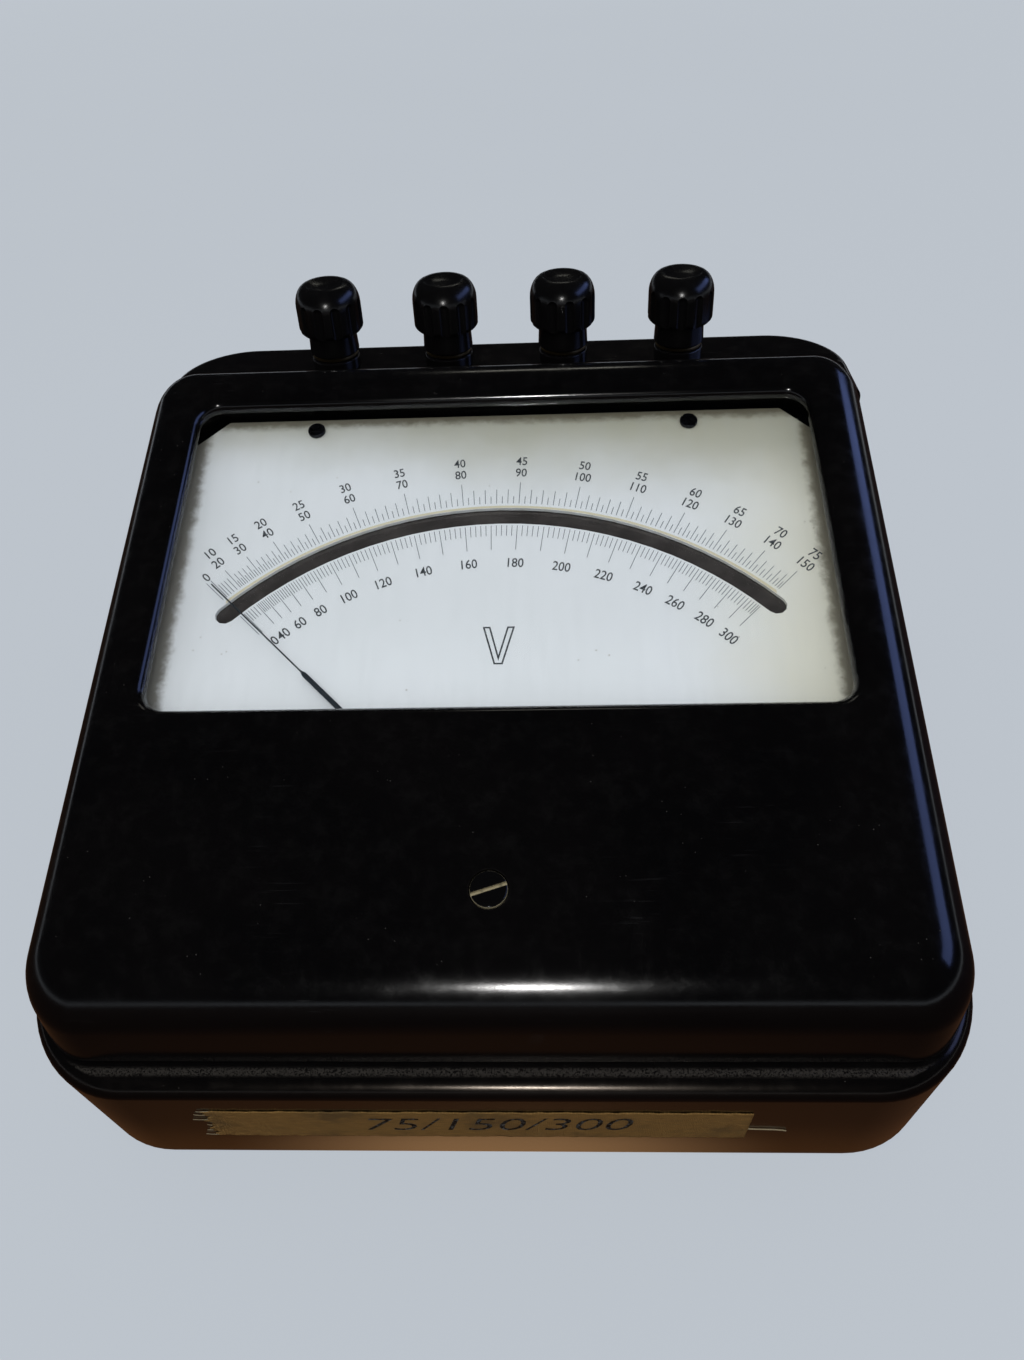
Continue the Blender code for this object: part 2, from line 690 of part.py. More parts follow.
def make_case_screws(looks):
    """Four long screws from the underside through the columns into the cover's bosses."""
    names = ("case_screw_front_left", "case_screw_front_right", "case_screw_rear_left", "case_screw_rear_right")
    seat = COUNTERBORE_DEPTH - GAP
    head = seat - CASE_HEAD_HEIGHT
    for name, (x, y) in zip(names, screw_places()):
        end = rim_height(y) + CASE_SCREW_ENGAGE
        profile = ((0, head), (CASE_HEAD_RADIUS, head), (CASE_HEAD_RADIUS, seat), (CASE_SCREW_RADIUS, seat),
                   (CASE_SCREW_RADIUS, end - CASE_SCREW_RADIUS), (0, end))
        piece(name, turned(name, profile, SMALL_STEPS), looks["plate"], Matrix.Translation((x, y, 0)))


def make_window(looks):
    """Window glass under the lip and the cement bead round its edge."""
    top = CEILING - GAP

    def outline(grow):
        lap = GLASS_LAP + grow
        corner = WINDOW_CORNER + lap
        return rounded_outline(WINDOW_HALF + lap, WINDOW_FRONT - lap, WINDOW_REAR + lap, corner, corner)

    piece("window_glass", prism("window_glass", outline(0), top - GLASS_THICK, top), looks["glass"], PIVOT)
    section = ((GAP, top), (GAP + CEMENT_WIDTH, top), (GAP + CEMENT_WIDTH / 2, top - CEMENT_HEIGHT),
               (GAP, top - CEMENT_HEIGHT))
    build = bmesh.new()
    skin(build, [[(x, y, level) for x, y in outline(grow)] for grow, level in section], closed=True)
    piece("glass_cement", finish_mesh("glass_cement", build), looks["cement"], PIVOT)


def make_dial(looks):
    """Dial plate with its mirror slot, the mirror under it and its two screws."""
    clip = DIAL_HALF - DIAL_CLIP
    shoulder = DIAL_REAR - DIAL_CLIP
    outline = ((-DIAL_HALF, DIAL_FRONT), (DIAL_HALF, DIAL_FRONT), (DIAL_HALF, shoulder), (clip, DIAL_REAR),
               (-clip, DIAL_REAR), (-DIAL_HALF, shoulder))
    dial = piece("dial_plate", prism("dial_plate", outline, -DIAL_THICK, 0), looks["dial"], PIVOT)
    middle = SLOT_RADIUS + SLOT_WIDTH / 2
    limit = math.radians(SLOT_HALF_ANGLE_DEG)
    low = -DIAL_THICK - OVERRUN
    slot = prism("dial_slot", slot_outline(middle, SLOT_WIDTH / 2, limit), low, OVERRUN)
    cut(dial, "dial_slot", slot, PIVOT)
    holes = bars("dial_holes", dial_screw_places() + dial_peg_places(), DIAL_SCREW_RADIUS + GAP, low, OVERRUN)
    cut(dial, "dial_holes", holes, PIVOT)
    reach = SLOT_HALF_ANGLE_DEG + math.degrees(SLOT_WIDTH / middle)
    band = arc_outline(SLOT_RADIUS - MIRROR_LAP, SLOT_RADIUS + SLOT_WIDTH + MIRROR_LAP, -reach, reach, ARC_STEPS)
    high = -DIAL_THICK - GAP
    piece("mirror_strip", prism("mirror_strip", band, high - MIRROR_THICK, high), looks["mirror"], PIVOT)
    screw = turned("dial_screw", screw_profile(-DIAL_SCREW_LENGTH, DIAL_SCREW_RADIUS, GAP, DIAL_HEAD_RADIUS,
                                               DIAL_HEAD_HEIGHT), SMALL_STEPS)
    for name, (x, y) in zip(("dial_screw_left", "dial_screw_right"), dial_screw_places()):
        piece(name, screw, looks["steel"], PIVOT @ Matrix.Translation((x, y, 0)))


def dial_screw_places():
    """Places of the dial's screws."""
    return [(-DIAL_SCREW_X, DIAL_SCREW_Y), (DIAL_SCREW_X, DIAL_SCREW_Y)]


def dial_peg_places():
    """Places of the pegs under the dial's front edge."""
    return [(-DIAL_PEG_X, DIAL_PEG_Y), (DIAL_PEG_X, DIAL_PEG_Y)]


def stop_places():
    """Places of the pins that stop the pointer past each end of the scale."""
    angle = math.radians(STOP_ANGLE_DEG)
    return [dial_point(STOP_REACH, -angle), dial_point(STOP_REACH, angle)]


def make_carrier(looks):
    """Plate with riveted dial pillars and pointer stops, clamped at the four case screws."""
    def ring(lift):
        inset = COVER_WALL + CARRIER_MARGIN
        corner = COVER_CORNER - COVER_WALL
        outline = rounded_outline(COVER_HALF - inset, COVER_FRONT_Y + inset, COVER_REAR_Y - inset, corner, corner)
        return [(x, y, rim_height(y) + lift / math.cos(SLOPE)) for x, y in outline]

    build = bmesh.new()
    loft(build, [ring(GAP), ring(GAP + CARRIER_THICK)])
    carrier = piece("carrier_plate", finish_mesh("carrier_plate", build), looks["plate"])
    low = CARRIER_FOOT - OVERRUN
    high = CARRIER_TOP + OVERRUN
    cut(carrier, "carrier_bore", bars("carrier_bore", [(0, 0)], CARRIER_BORE, low, high, TURN_STEPS), PIVOT)
    holes = bars("strap_holes", strap_places(), STRAP_SCREW_RADIUS + GAP, low, high)
    cut(carrier, "strap_holes", holes, PIVOT)
    corners = bmesh.new()
    for place in screw_places():
        rim = rim_height(place[1])
        bar(corners, CASE_SCREW_RADIUS + GAP, rim - OVERRUN, rim + OVERRUN + CARRIER_THICK, place)
    cut(carrier, "carrier_corners", finish_mesh("carrier_corners", corners))
    posts = bmesh.new()
    foot = CARRIER_FOOT + CARRIER_THICK / 2
    shoulder = -DIAL_THICK - GAP
    for place in dial_screw_places():
        bar(posts, PILLAR_RADIUS, foot, shoulder, place)
    for place in dial_peg_places():
        profile = ((0, foot), (PILLAR_RADIUS, foot), (PILLAR_RADIUS, shoulder), (DIAL_SCREW_RADIUS, shoulder),
                   (DIAL_SCREW_RADIUS, 0), (0, 0))
        spin(posts, profile, SMALL_STEPS, False, place)
    for place in stop_places():
        bar(posts, STOP_RADIUS, foot, STOP_LEVEL, place)
    join(carrier, "carrier_posts", finish_mesh("carrier_posts", posts), PIVOT)
    threads = bars("pillar_threads", dial_screw_places(), DIAL_SCREW_RADIUS + GAP, -DIAL_SCREW_LENGTH - GAP, OVERRUN)
    cut(carrier, "pillar_threads", threads, PIVOT)


def strap_places():
    """Places of the screws through both bridges and the carrier plate."""
    return [(-STRAP_SCREW_X, 0), (STRAP_SCREW_X, 0)]


def strap(name, level, seat, width, look):
    """A strap bent over the movement whose feet lie on a face of the carrier."""
    step = math.copysign(STRAP_THICK, level - seat)
    inner = STRAP_LEG_X - STRAP_THICK
    half = ((STRAP_LEG_X, level), (STRAP_LEG_X, seat + step), (STRAP_FOOT_X, seat + step), (STRAP_FOOT_X, seat),
            (inner, seat), (inner, level - step))
    outline = list(half) + [(-x, z) for x, z in reversed(half)]
    build = bmesh.new()
    loft(build, [[(x, -width / 2, z) for x, z in outline], [(x, width / 2, z) for x, z in outline]])
    item = piece(name, finish_mesh(name, build), look, PIVOT)
    low = min(level, seat) - OVERRUN
    high = max(level, seat) + OVERRUN
    holes = bars(name + "_holes", strap_places(), STRAP_SCREW_RADIUS + GAP, low, high)
    cut(item, name + "_holes", holes, PIVOT)
    bore = bars(name + "_bore", [(0, 0)], JEWEL_RADIUS + GAP, level - OVERRUN, level + OVERRUN)
    cut(item, name + "_bore", bore, PIVOT)


def make_frame(looks):
    """Upper and lower bridges, the two screws that hold them and the two jewel screws."""
    upper_seat = CARRIER_TOP + GAP
    lower_face = LOWER_BRIDGE_LEVEL - STRAP_THICK
    strap("upper_bridge", UPPER_BRIDGE_LEVEL, upper_seat, STRAP_WIDTH, looks["plate"])
    strap("lower_bridge", lower_face, RIM_LEVEL, LOWER_STRAP_WIDTH, looks["plate"])
    head = upper_seat + STRAP_THICK + GAP
    nut = RIM_LEVEL - STRAP_THICK - GAP
    end = nut - STRAP_NUT_HEIGHT
    profile = ((0, end), (STRAP_HEAD_RADIUS, end), (STRAP_HEAD_RADIUS, nut), (STRAP_SCREW_RADIUS, nut),
               (STRAP_SCREW_RADIUS, head), (STRAP_HEAD_RADIUS, head),
               (STRAP_HEAD_RADIUS, head + STRAP_HEAD_HEIGHT), (0, head + STRAP_HEAD_HEIGHT))
    screw = turned("movement_screw", profile, SMALL_STEPS)
    for name, (x, y) in zip(("movement_screw_left", "movement_screw_right"), strap_places()):
        piece(name, screw, looks["steel"], PIVOT @ Matrix.Translation((x, y, 0)))
    tip = STAFF_TOP_LEVEL + GAP
    top = UPPER_BRIDGE_LEVEL + JEWEL_HEAD
    profile = ((0, tip + JEWEL_CUP_DEPTH), (JEWEL_RADIUS / 2, tip), (JEWEL_RADIUS, tip), (JEWEL_RADIUS, top), (0, top))
    piece("upper_jewel_screw", turned("upper_jewel_screw", profile, SMALL_STEPS), looks["brass"], PIVOT)
    tip = STAFF_FOOT_LEVEL - GAP
    foot = lower_face - JEWEL_HEAD
    profile = ((0, foot), (JEWEL_RADIUS, foot), (JEWEL_RADIUS, tip), (JEWEL_RADIUS / 2, tip),
               (0, tip - JEWEL_CUP_DEPTH))
    piece("lower_jewel_screw", turned("lower_jewel_screw", profile, SMALL_STEPS), looks["brass"], PIVOT)


def make_damping(looks):
    """Round air chamber on the lower bridge, open on top, with the vane on the staff."""
    top = CHAMBER_FOOT + CHAMBER_HEIGHT
    floor = CHAMBER_FOOT + CHAMBER_WALL
    hub = STAFF_RADIUS + GAP + HUB_WALL
    bore = hub + GAP
    inner = CHAMBER_RADIUS - CHAMBER_WALL
    profile = ((bore, CHAMBER_FOOT), (CHAMBER_RADIUS, CHAMBER_FOOT), (CHAMBER_RADIUS, top), (inner, top),
               (inner, floor), (bore, floor))
    chamber = piece("damping_chamber", turned("damping_chamber", profile, closed=True), looks["aluminium"], PIVOT)
    half = CHAMBER_RIB_THICK / 2
    rib = box_outline(-half, half, hub + HUB_WALL, inner + CHAMBER_WALL / 2)
    join(chamber, "chamber_rib", prism("chamber_rib", rib, floor - CHAMBER_WALL / 2, top - GAP), PIVOT)
    low = floor + VANE_CLEAR
    high = top - VANE_CLEAR
    vane = piece("damping_vane", turned("damping_vane", tube_profile(STAFF_RADIUS + GAP, hub, low, high),
                                        SMALL_STEPS, True), looks["aluminium"], PIVOT)
    half = VANE_THICK / 2
    blade = box_outline(-half, half, hub - HUB_WALL / 2, inner - VANE_CLEAR)
    turn = Matrix.Rotation(-math.radians(VANE_ANGLE_DEG), 4, "Z")
    join(vane, "vane_blade", prism("vane_blade", blade, low + GAP, high - GAP), PIVOT @ turn)


def make_coil(looks):
    """Bobbin that closes the chamber, its winding, and the fixed and moving irons in its bore."""
    low = BOBBIN_FOOT
    high = low + BOBBIN_HEIGHT
    wall = BOBBIN_BORE + BOBBIN_WALL
    profile = ((BOBBIN_BORE, low), (BOBBIN_RADIUS, low), (BOBBIN_RADIUS, low + BOBBIN_FLANGE),
               (wall, low + BOBBIN_FLANGE), (wall, high - BOBBIN_FLANGE), (BOBBIN_RADIUS, high - BOBBIN_FLANGE),
               (BOBBIN_RADIUS, high), (BOBBIN_BORE, high))
    piece("coil_bobbin", turned("coil_bobbin", profile, closed=True), looks["fibre"], PIVOT)
    section = tube_profile(wall + GAP, wall + GAP + COIL_DEPTH, low + BOBBIN_FLANGE + GAP,
                           high - BOBBIN_FLANGE - GAP)
    coil = piece("field_coil", turned("field_coil", section, closed=True), looks["copper"], PIVOT)
    rear = wall + GAP + COIL_DEPTH - LEAD_RADIUS
    for side, name in ((-1, "coil_lead_left"), (1, "coil_lead_right")):
        start = PIVOT @ Vector((side * rear / 2, rear * math.sqrt(3) / 2, (low + high) / 2))
        pull = start + PIVOT.to_3x3() @ Vector((0, LEAD_BOW, 0))
        end = Vector((side * RESISTOR_PITCH / 2, BOARD_REAR_Y - BOARD_DEPTH + BOARD_SCREW_INSET, BOARD_TOP + GAP))
        join(coil, name, lead_mesh(name, start, pull, end + Vector((0, 0, LEAD_BOW)), end))
    iron_low = low + IRON_INSET
    iron_high = high - IRON_INSET
    outer = BOBBIN_BORE - GAP
    start = FIXED_IRON_CENTRE_DEG - FIXED_IRON_ARC_DEG / 2
    band = arc_outline(outer - FIXED_IRON_THICK, outer, start, start + FIXED_IRON_ARC_DEG, CORNER_STEPS)
    piece("fixed_iron", prism("fixed_iron", band, iron_low, iron_high), looks["iron"], PIVOT)
    hub = STAFF_RADIUS + GAP + HUB_WALL
    section = tube_profile(STAFF_RADIUS + GAP, hub, iron_low, iron_high)
    iron = piece("moving_iron", turned("moving_iron", section, SMALL_STEPS, True), looks["iron"], PIVOT)
    start = MOVING_IRON_CENTRE_DEG - MOVING_IRON_ARC_DEG / 2
    inner = MOVING_IRON_RADIUS - MOVING_IRON_THICK
    band = arc_outline(inner, MOVING_IRON_RADIUS, start, start + MOVING_IRON_ARC_DEG, CORNER_STEPS)
    join(iron, "iron_blade", prism("iron_blade", band, iron_low, iron_high), PIVOT)
    half = MOVING_IRON_THICK / 2
    web = box_outline(-half, half, hub - HUB_WALL / 2, MOVING_IRON_RADIUS - MOVING_IRON_THICK / 2)
    turn = Matrix.Rotation(-math.radians(MOVING_IRON_CENTRE_DEG), 4, "Z")
    join(iron, "iron_web", prism("iron_web", web, iron_low + GAP, iron_high - GAP), PIVOT @ turn)


def make_staff(looks):
    """The staff between the jewels, with its collet for the hairspring."""
    low = COLLET_LEVEL - COLLET_HEIGHT
    profile = ((0, STAFF_FOOT_LEVEL), (STAFF_RADIUS, STAFF_FOOT_LEVEL + STAFF_CONE), (STAFF_RADIUS, low),
               (COLLET_RADIUS, low), (COLLET_RADIUS, COLLET_LEVEL), (STAFF_RADIUS, COLLET_LEVEL),
               (STAFF_RADIUS, STAFF_TOP_LEVEL - STAFF_CONE), (0, STAFF_TOP_LEVEL))
    piece("staff", turned("staff", profile, SMALL_STEPS), looks["steel"], PIVOT)


def make_hairspring(looks):
    """Flat spiral spring from the collet out to the zero lever's stud."""
    steps = round(SPRING_TURNS * SPRING_STEPS)
    rings = []
    track = []
    for i in range(steps + 1):
        share = i / steps
        angle = math.tau * SPRING_TURNS * (share - 1) - math.pi / 2
        radius = SPRING_INNER + (SPRING_OUTER - SPRING_INNER) * share
        aim = Vector((math.cos(angle), math.sin(angle), 0))
        side = aim * SPRING_STRIP / 2
        low = Vector((0, 0, SPRING_LEVEL - SPRING_HEIGHT))
        high = Vector((0, 0, SPRING_LEVEL))
        spot = aim * radius
        rings.append([spot - side + low, spot + side + low, spot + side + high, spot - side + high])
        track.append(spot)
    pairs = zip(track, track[SPRING_STEPS:])
    gap = min((outer - inner).length for inner, outer in pairs) - SPRING_STRIP
    print("hairspring least gap between turns, mm:", round(gap * 1000, 3))
    build = bmesh.new()
    loft(build, rings)
    piece("hairspring", finish_mesh("hairspring", build), looks["brass"], PIVOT)


def pointer_stations():
    """Stations of the pointer's arm: reach, half width, level of the top face."""
    root = POINTER_ROOT_WIDTH / 2
    half = POINTER_BAR_WIDTH / 2
    tip = POINTER_TIP_WIDTH / 2
    low = POINTER_HUB_LEVEL - POINTER_THICK / 2
    return ((POINTER_HUB_RADIUS / 2, root, low), (POINTER_CRANK_START, root, low),
            (POINTER_CRANK_END, half, POINTER_LEVEL), (POINTER_BAR_END, half, POINTER_LEVEL),
            (POINTER_BAR_END + POINTER_BAR_WIDTH, tip, POINTER_LEVEL), (POINTER_LENGTH, tip, POINTER_LEVEL))


def make_pointer(looks):
    """Cranked pointer with its hub and two tails, and a balance weight on each tail."""
    rest = PIVOT @ Matrix.Rotation(math.radians(ZERO_ANGLE_DEG), 4, "Z")
    foot = POINTER_HUB_LEVEL - POINTER_HUB_HEIGHT
    section = tube_profile(STAFF_RADIUS + GAP, POINTER_HUB_RADIUS, foot, POINTER_HUB_LEVEL)
    pointer = piece("pointer", turned("pointer", section, SMALL_STEPS, True), looks["pointer"], rest)
    arm = bmesh.new()
    loft(arm, [[(half, reach, top), (-half, reach, top), (-half, reach, top - POINTER_THICK),
                (half, reach, top - POINTER_THICK)] for reach, half, top in pointer_stations()])
    join(pointer, "pointer_arm", finish_mesh("pointer_arm", arm), rest)
    middle = POINTER_HUB_LEVEL - POINTER_HUB_HEIGHT / 2
    tail = box_outline(-TAIL_WIDTH / 2, TAIL_WIDTH / 2, POINTER_HUB_RADIUS / 2, TAIL_LENGTH)
    for side, name in ((-1, "left"), (1, "right")):
        aim = rest @ Matrix.Rotation(math.pi + side * math.radians(TAIL_SPREAD_DEG / 2), 4, "Z")
        mesh = prism("tail_" + name, tail, middle - POINTER_THICK / 2, middle + POINTER_THICK / 2)
        join(pointer, "tail_" + name, mesh, aim)
        place = aim @ Matrix.Translation((0, WEIGHT_PLACE, middle))
        piece("balance_weight_" + name, weight_mesh(), looks["brass"], place)


def weight_mesh():
    """A round weight along Y with a flat way that slides on a tail."""
    half = TAIL_WIDTH / 2 + GAP
    high = POINTER_THICK / 2 + GAP
    outer = circle(WEIGHT_RADIUS, (0, 0))
    inner = [(max(-half, min(half, x)), math.copysign(high, z)) for x, z in outer]
    inner = [(x, 0 if abs(z) < MERGE else height) for (x, height), (_, z) in zip(inner, outer)]
    build = bmesh.new()
    skin(build, [[(x, y, z) for x, z in ring] for ring, y in
                 ((outer, 0), (outer, WEIGHT_LENGTH), (inner, WEIGHT_LENGTH), (inner, 0))], closed=True)
    return finish_mesh("balance_weight", build)


def adjuster_place():
    """Axis of the zero adjuster."""
    return PIVOT @ Matrix.Translation((0, -ADJUST_SETBACK, 0))


def make_zero_gear(looks):
    """Zero lever round the upper jewel screw, and the slotted adjuster in the cover."""
    low = UPPER_BRIDGE_LEVEL + GAP
    high = low + LEVER_THICK
    section = tube_profile(JEWEL_RADIUS + GAP, LEVER_RING_RADIUS, low, high)
    lever = piece("zero_lever", turned("zero_lever", section, SMALL_STEPS, True), looks["plate"], PIVOT)
    half = LEVER_ARM_WIDTH / 2
    fork = LEVER_FORK_WIDTH / 2
    root = (JEWEL_RADIUS + GAP + LEVER_RING_RADIUS) / 2
    arm = ((-half, -LEVER_ARM_END), (-fork, -LEVER_ARM_END), (-fork, -LEVER_FORK_START), (fork, -LEVER_FORK_START),
           (fork, -LEVER_ARM_END), (half, -LEVER_ARM_END), (half, -root), (-half, -root))
    join(lever, "lever_arm", prism("lever_arm", arm, low, high), PIVOT)
    reach = SPRING_OUTER + SPRING_STRIP / 2 + GAP + LEVER_STUD_RADIUS
    stud = bars("lever_stud", [(0, -reach)], LEVER_STUD_RADIUS, SPRING_LEVEL - SPRING_HEIGHT, low + LEVER_THICK / 2)
    join(lever, "lever_stud", stud, PIVOT)
    seat = COVER_TOP - ADJUST_RECESS + GAP
    top = seat + ADJUST_HEAD_HEIGHT
    foot = CEILING - ADJUST_SHANK_BELOW
    profile = ((0, foot), (ADJUST_SHANK_RADIUS, foot), (ADJUST_SHANK_RADIUS, seat), (ADJUST_HEAD_RADIUS, seat),
               (ADJUST_HEAD_RADIUS, top - GAP), (ADJUST_HEAD_RADIUS - GAP, top), (0, top))
    screw = piece("zero_adjust_screw", turned("zero_adjust_screw", profile), looks["rubber"], adjuster_place())
    reach = ADJUST_HEAD_RADIUS + OVERRUN
    groove = box_outline(-reach, reach, -ADJUST_SLOT_WIDTH / 2, ADJUST_SLOT_WIDTH / 2)
    turn = Matrix.Rotation(math.radians(ADJUST_SLOT_ANGLE_DEG), 4, "Z")
    cut(screw, "adjust_slot", prism("adjust_slot", groove, top - ADJUST_SLOT_DEPTH, top + OVERRUN),
        adjuster_place() @ turn)
    pin = bars("adjust_pin", [(0, -ADJUST_THROW)], ADJUST_PIN_RADIUS, foot - ADJUST_PIN_LENGTH,
               foot + ADJUST_SHANK_BELOW / 2)
    join(screw, "adjust_pin", pin, adjuster_place())


def cap_mesh():
    """One terminal cap: plain neck, stepped fluted head, dished dome and a blind bore."""
    point_count = CAP_FLUTES * 3
    side_top = CAP_HEIGHT - CAP_DOME
    bore = STUD_RADIUS + GAP

    def ring(radius, height, flute=0):
        reach = [radius - flute if i % 3 == 1 else radius for i in range(point_count)]
        turns = [math.tau * i / point_count for i in range(point_count)]
        return [(r * math.cos(turn), r * math.sin(turn), height) for r, turn in zip(reach, turns)]

    outside = [ring(bore, 0), ring(CAP_NECK_RADIUS + CAP_FLARE, 0), ring(CAP_NECK_RADIUS, CAP_NECK_HEIGHT),
               ring(CAP_HEAD_RADIUS - CAP_SKIRT_STEP, CAP_NECK_HEIGHT),
               ring(CAP_HEAD_RADIUS, CAP_NECK_HEIGHT + CAP_SKIRT_STEP, CAP_FLUTE_DEPTH),
               ring(CAP_HEAD_RADIUS, side_top, CAP_FLUTE_DEPTH)]
    for turn in quarter_turns()[1:]:
        radius = CAP_CREST_RADIUS + (CAP_HEAD_RADIUS - CAP_CREST_RADIUS) * math.cos(turn)
        outside.append(ring(radius, side_top + CAP_DOME * math.sin(turn)))
    outside.append(ring(CAP_CREST_RADIUS / 2, CAP_HEIGHT - CAP_DISH))
    build = bmesh.new()
    outer = skin(build, outside)
    inner = skin(build, [ring(bore, 0), ring(bore, CAP_HEIGHT - CAP_CROWN)])
    build.faces.new(outer[-1])
    build.faces.new(inner[-1])
    return finish_mesh("terminal_cap", build)


def make_terminals(looks):
    """Terminals: stud headed under the shelf, tag, collar, clamp washer and cap on each."""
    bore = STUD_RADIUS + GAP
    under = -BASE_WALL
    head = under - GAP - TAG_THICK - GAP
    profile = ((0, head - STUD_HEAD_HEIGHT), (STUD_HEAD_RADIUS, head - STUD_HEAD_HEIGHT), (STUD_HEAD_RADIUS, head),
               (STUD_RADIUS, head), (STUD_RADIUS, STUD_HEIGHT - STUD_RADIUS / 2), (STUD_RADIUS / 2, STUD_HEIGHT),
               (0, STUD_HEIGHT))
    stud = turned("terminal_stud", profile, SMALL_STEPS)
    profile = ((bore, under), (COLLAR_SPIGOT, under), (COLLAR_SPIGOT, GAP), (COLLAR_RADIUS, GAP),
               (COLLAR_RADIUS, COLLAR_HEIGHT), (bore, COLLAR_HEIGHT))
    collar = turned("terminal_collar", profile, MIDDLE_STEPS, True)
    section = tube_profile(bore, CLAMP_RADIUS, 0, CLAMP_THICK)
    washer = turned("clamp_washer", section, MIDDLE_STEPS, True)
    cap = cap_mesh()
    washer_lift = Matrix.Translation((0, 0, COLLAR_HEIGHT + GAP))
    cap_lift = Matrix.Translation((0, 0, COLLAR_HEIGHT + GAP + CLAMP_THICK + GAP))
    for number, (x, y) in enumerate(terminal_places(), 1):
        here = Matrix.Translation((x, y, SHELF_HEIGHT))
        piece(f"terminal_stud_{number}", stud, looks["brass"], here)
        piece(f"terminal_collar_{number}", collar, looks["rubber"], here)
        piece(f"clamp_washer_{number}", washer, looks["brass"], here @ washer_lift)
        piece(f"terminal_cap_{number}", cap, looks["rubber"], here @ cap_lift)
        make_terminal_lead(looks, number, here @ Matrix.Translation((0, 0, under - GAP)))


def make_terminal_lead(looks, number, place):
    """Solder tag round a stud with its lead down to the resistor board."""
    bore = STUD_RADIUS + GAP
    inner = circle(bore, (0, 0))
    outer = circle(TAG_RADIUS, (0, 0))
    outer = [(x, -TAG_LENGTH) if y < -TAG_RADIUS / 2 else (x, y) for x, y in outer]
    section = ((inner, -TAG_THICK), (outer, -TAG_THICK), (outer, 0), (inner, 0))
    build = bmesh.new()
    skin(build, [[(x, y, z) for x, y in ring] for ring, z in section], closed=True)
    name = f"terminal_lead_{number}"
    tag = piece(name, finish_mesh(name, build), looks["cotton"], place)
    start = place @ Vector((0, LEAD_RADIUS * 2 - TAG_LENGTH, -TAG_THICK / 2))
    end_x = RESISTOR_PITCH * (number - 1 - RESISTOR_COUNT / 2)
    end = Vector((end_x, BOARD_REAR_Y - BOARD_SCREW_INSET, BOARD_TOP + GAP))
    bow = Vector((0, 0, LEAD_BOW))
    join(tag, f"tag_wire_{number}", lead_mesh(name, start, start - bow, end + bow, end))


def lead_mesh(name, start, pull, push, end):
    """An insulated lead along one smooth curve."""
    rings = []
    for i in range(LEAD_STEPS + 1):
        t = i / LEAD_STEPS
        s = 1 - t
        spot = start * s ** 3 + pull * (3 * t * s * s) + push * (3 * t * t * s) + end * t ** 3
        along = ((pull - start) * s * s + (push - pull) * (2 * t * s) + (end - push) * t * t).normalized()
        across = along.cross(Vector((1, 0, 0))).normalized()
        other = along.cross(across)
        rings.append([spot + (across * x + other * y) for x, y in circle(LEAD_RADIUS, (0, 0), LEAD_SIDES)])
    build = bmesh.new()
    loft(build, rings)
    return finish_mesh(name, build)


def make_resistors(looks):
    """Board on the base's floor with three wound series resistors and two screws."""
    low = BASE_FLOOR + GAP
    outline = box_outline(-BOARD_HALF, BOARD_HALF, BOARD_REAR_Y - BOARD_DEPTH, BOARD_REAR_Y)
    board = piece("resistor_board", prism("resistor_board", outline, low, BOARD_TOP), looks["board"])
    holes = bars("board_holes", board_screw_places(), BOARD_SCREW_RADIUS + GAP, low - OVERRUN, BOARD_TOP + OVERRUN)
    cut(board, "board_holes", holes)
    screw = turned("board_screw", screw_profile(BASE_FLOOR - BOARD_SCREW_GRIP, BOARD_SCREW_RADIUS, BOARD_TOP + GAP,
                                                BOARD_HEAD_RADIUS, BOARD_HEAD_HEIGHT), SMALL_STEPS)
    for name, (x, y) in zip(("board_screw_left", "board_screw_right"), board_screw_places()):
        piece(name, screw, looks["steel"], Matrix.Translation((x, y, 0)))
    top = RESISTOR_HEIGHT - RESISTOR_FLANGE
    profile = ((0, 0), (RESISTOR_RADIUS, 0), (RESISTOR_RADIUS, RESISTOR_FLANGE), (RESISTOR_WINDING, RESISTOR_FLANGE),
               (RESISTOR_WINDING, top), (RESISTOR_RADIUS, top), (RESISTOR_RADIUS, RESISTOR_HEIGHT),
               (0, RESISTOR_HEIGHT))
    spool = turned("series_resistor", profile, MIDDLE_STEPS)
    for i in range(RESISTOR_COUNT):
        x = RESISTOR_PITCH * (i - (RESISTOR_COUNT - 1) / 2)
        place = Matrix.Translation((x, BOARD_REAR_Y - BOARD_DEPTH / 2, BOARD_TOP + GAP))
        piece(f"series_resistor_{i + 1}", spool, looks["fibre"], place)


def make_strip(looks):
    """Cloth strip on the drafted front wall of the base."""
    foot = Vector((STRIP_OFFSET, FRONT_Y + BASE_FRONT_DRAFT, BASE_FOOT_EDGE))
    rise = Vector((0, -BASE_FRONT_DRAFT, FRONT_RISE - BASE_SHOULDER - BASE_FOOT_EDGE)).normalized()
    outward = rise.cross(Vector((1, 0, 0)))
    rings = []
    for depth in (GAP, GAP + STRIP_THICK):
        corners = box_outline(-STRIP_LENGTH / 2, STRIP_LENGTH / 2, STRIP_RISE, STRIP_RISE + STRIP_HEIGHT)
        rings.append([foot + rise * up - outward * depth + Vector((x, 0, 0)) for x, up in corners])
    build = bmesh.new()
    loft(build, rings)
    piece("cloth_strip", finish_mesh("cloth_strip", build), looks["cloth"])


def main():
    """Build the whole voltmeter."""
    clear_scene()
    looks = make_materials()
    make_base(looks)
    make_cover(looks)
    make_case_screws(looks)
    make_window(looks)
    make_dial(looks)
    make_carrier(looks)
    make_frame(looks)
    make_damping(looks)
    make_coil(looks)
    make_staff(looks)
    make_hairspring(looks)
    make_pointer(looks)
    make_zero_gear(looks)
    make_terminals(looks)
    make_resistors(looks)
    make_strip(looks)
    bpy.context.view_layer.update()


main()
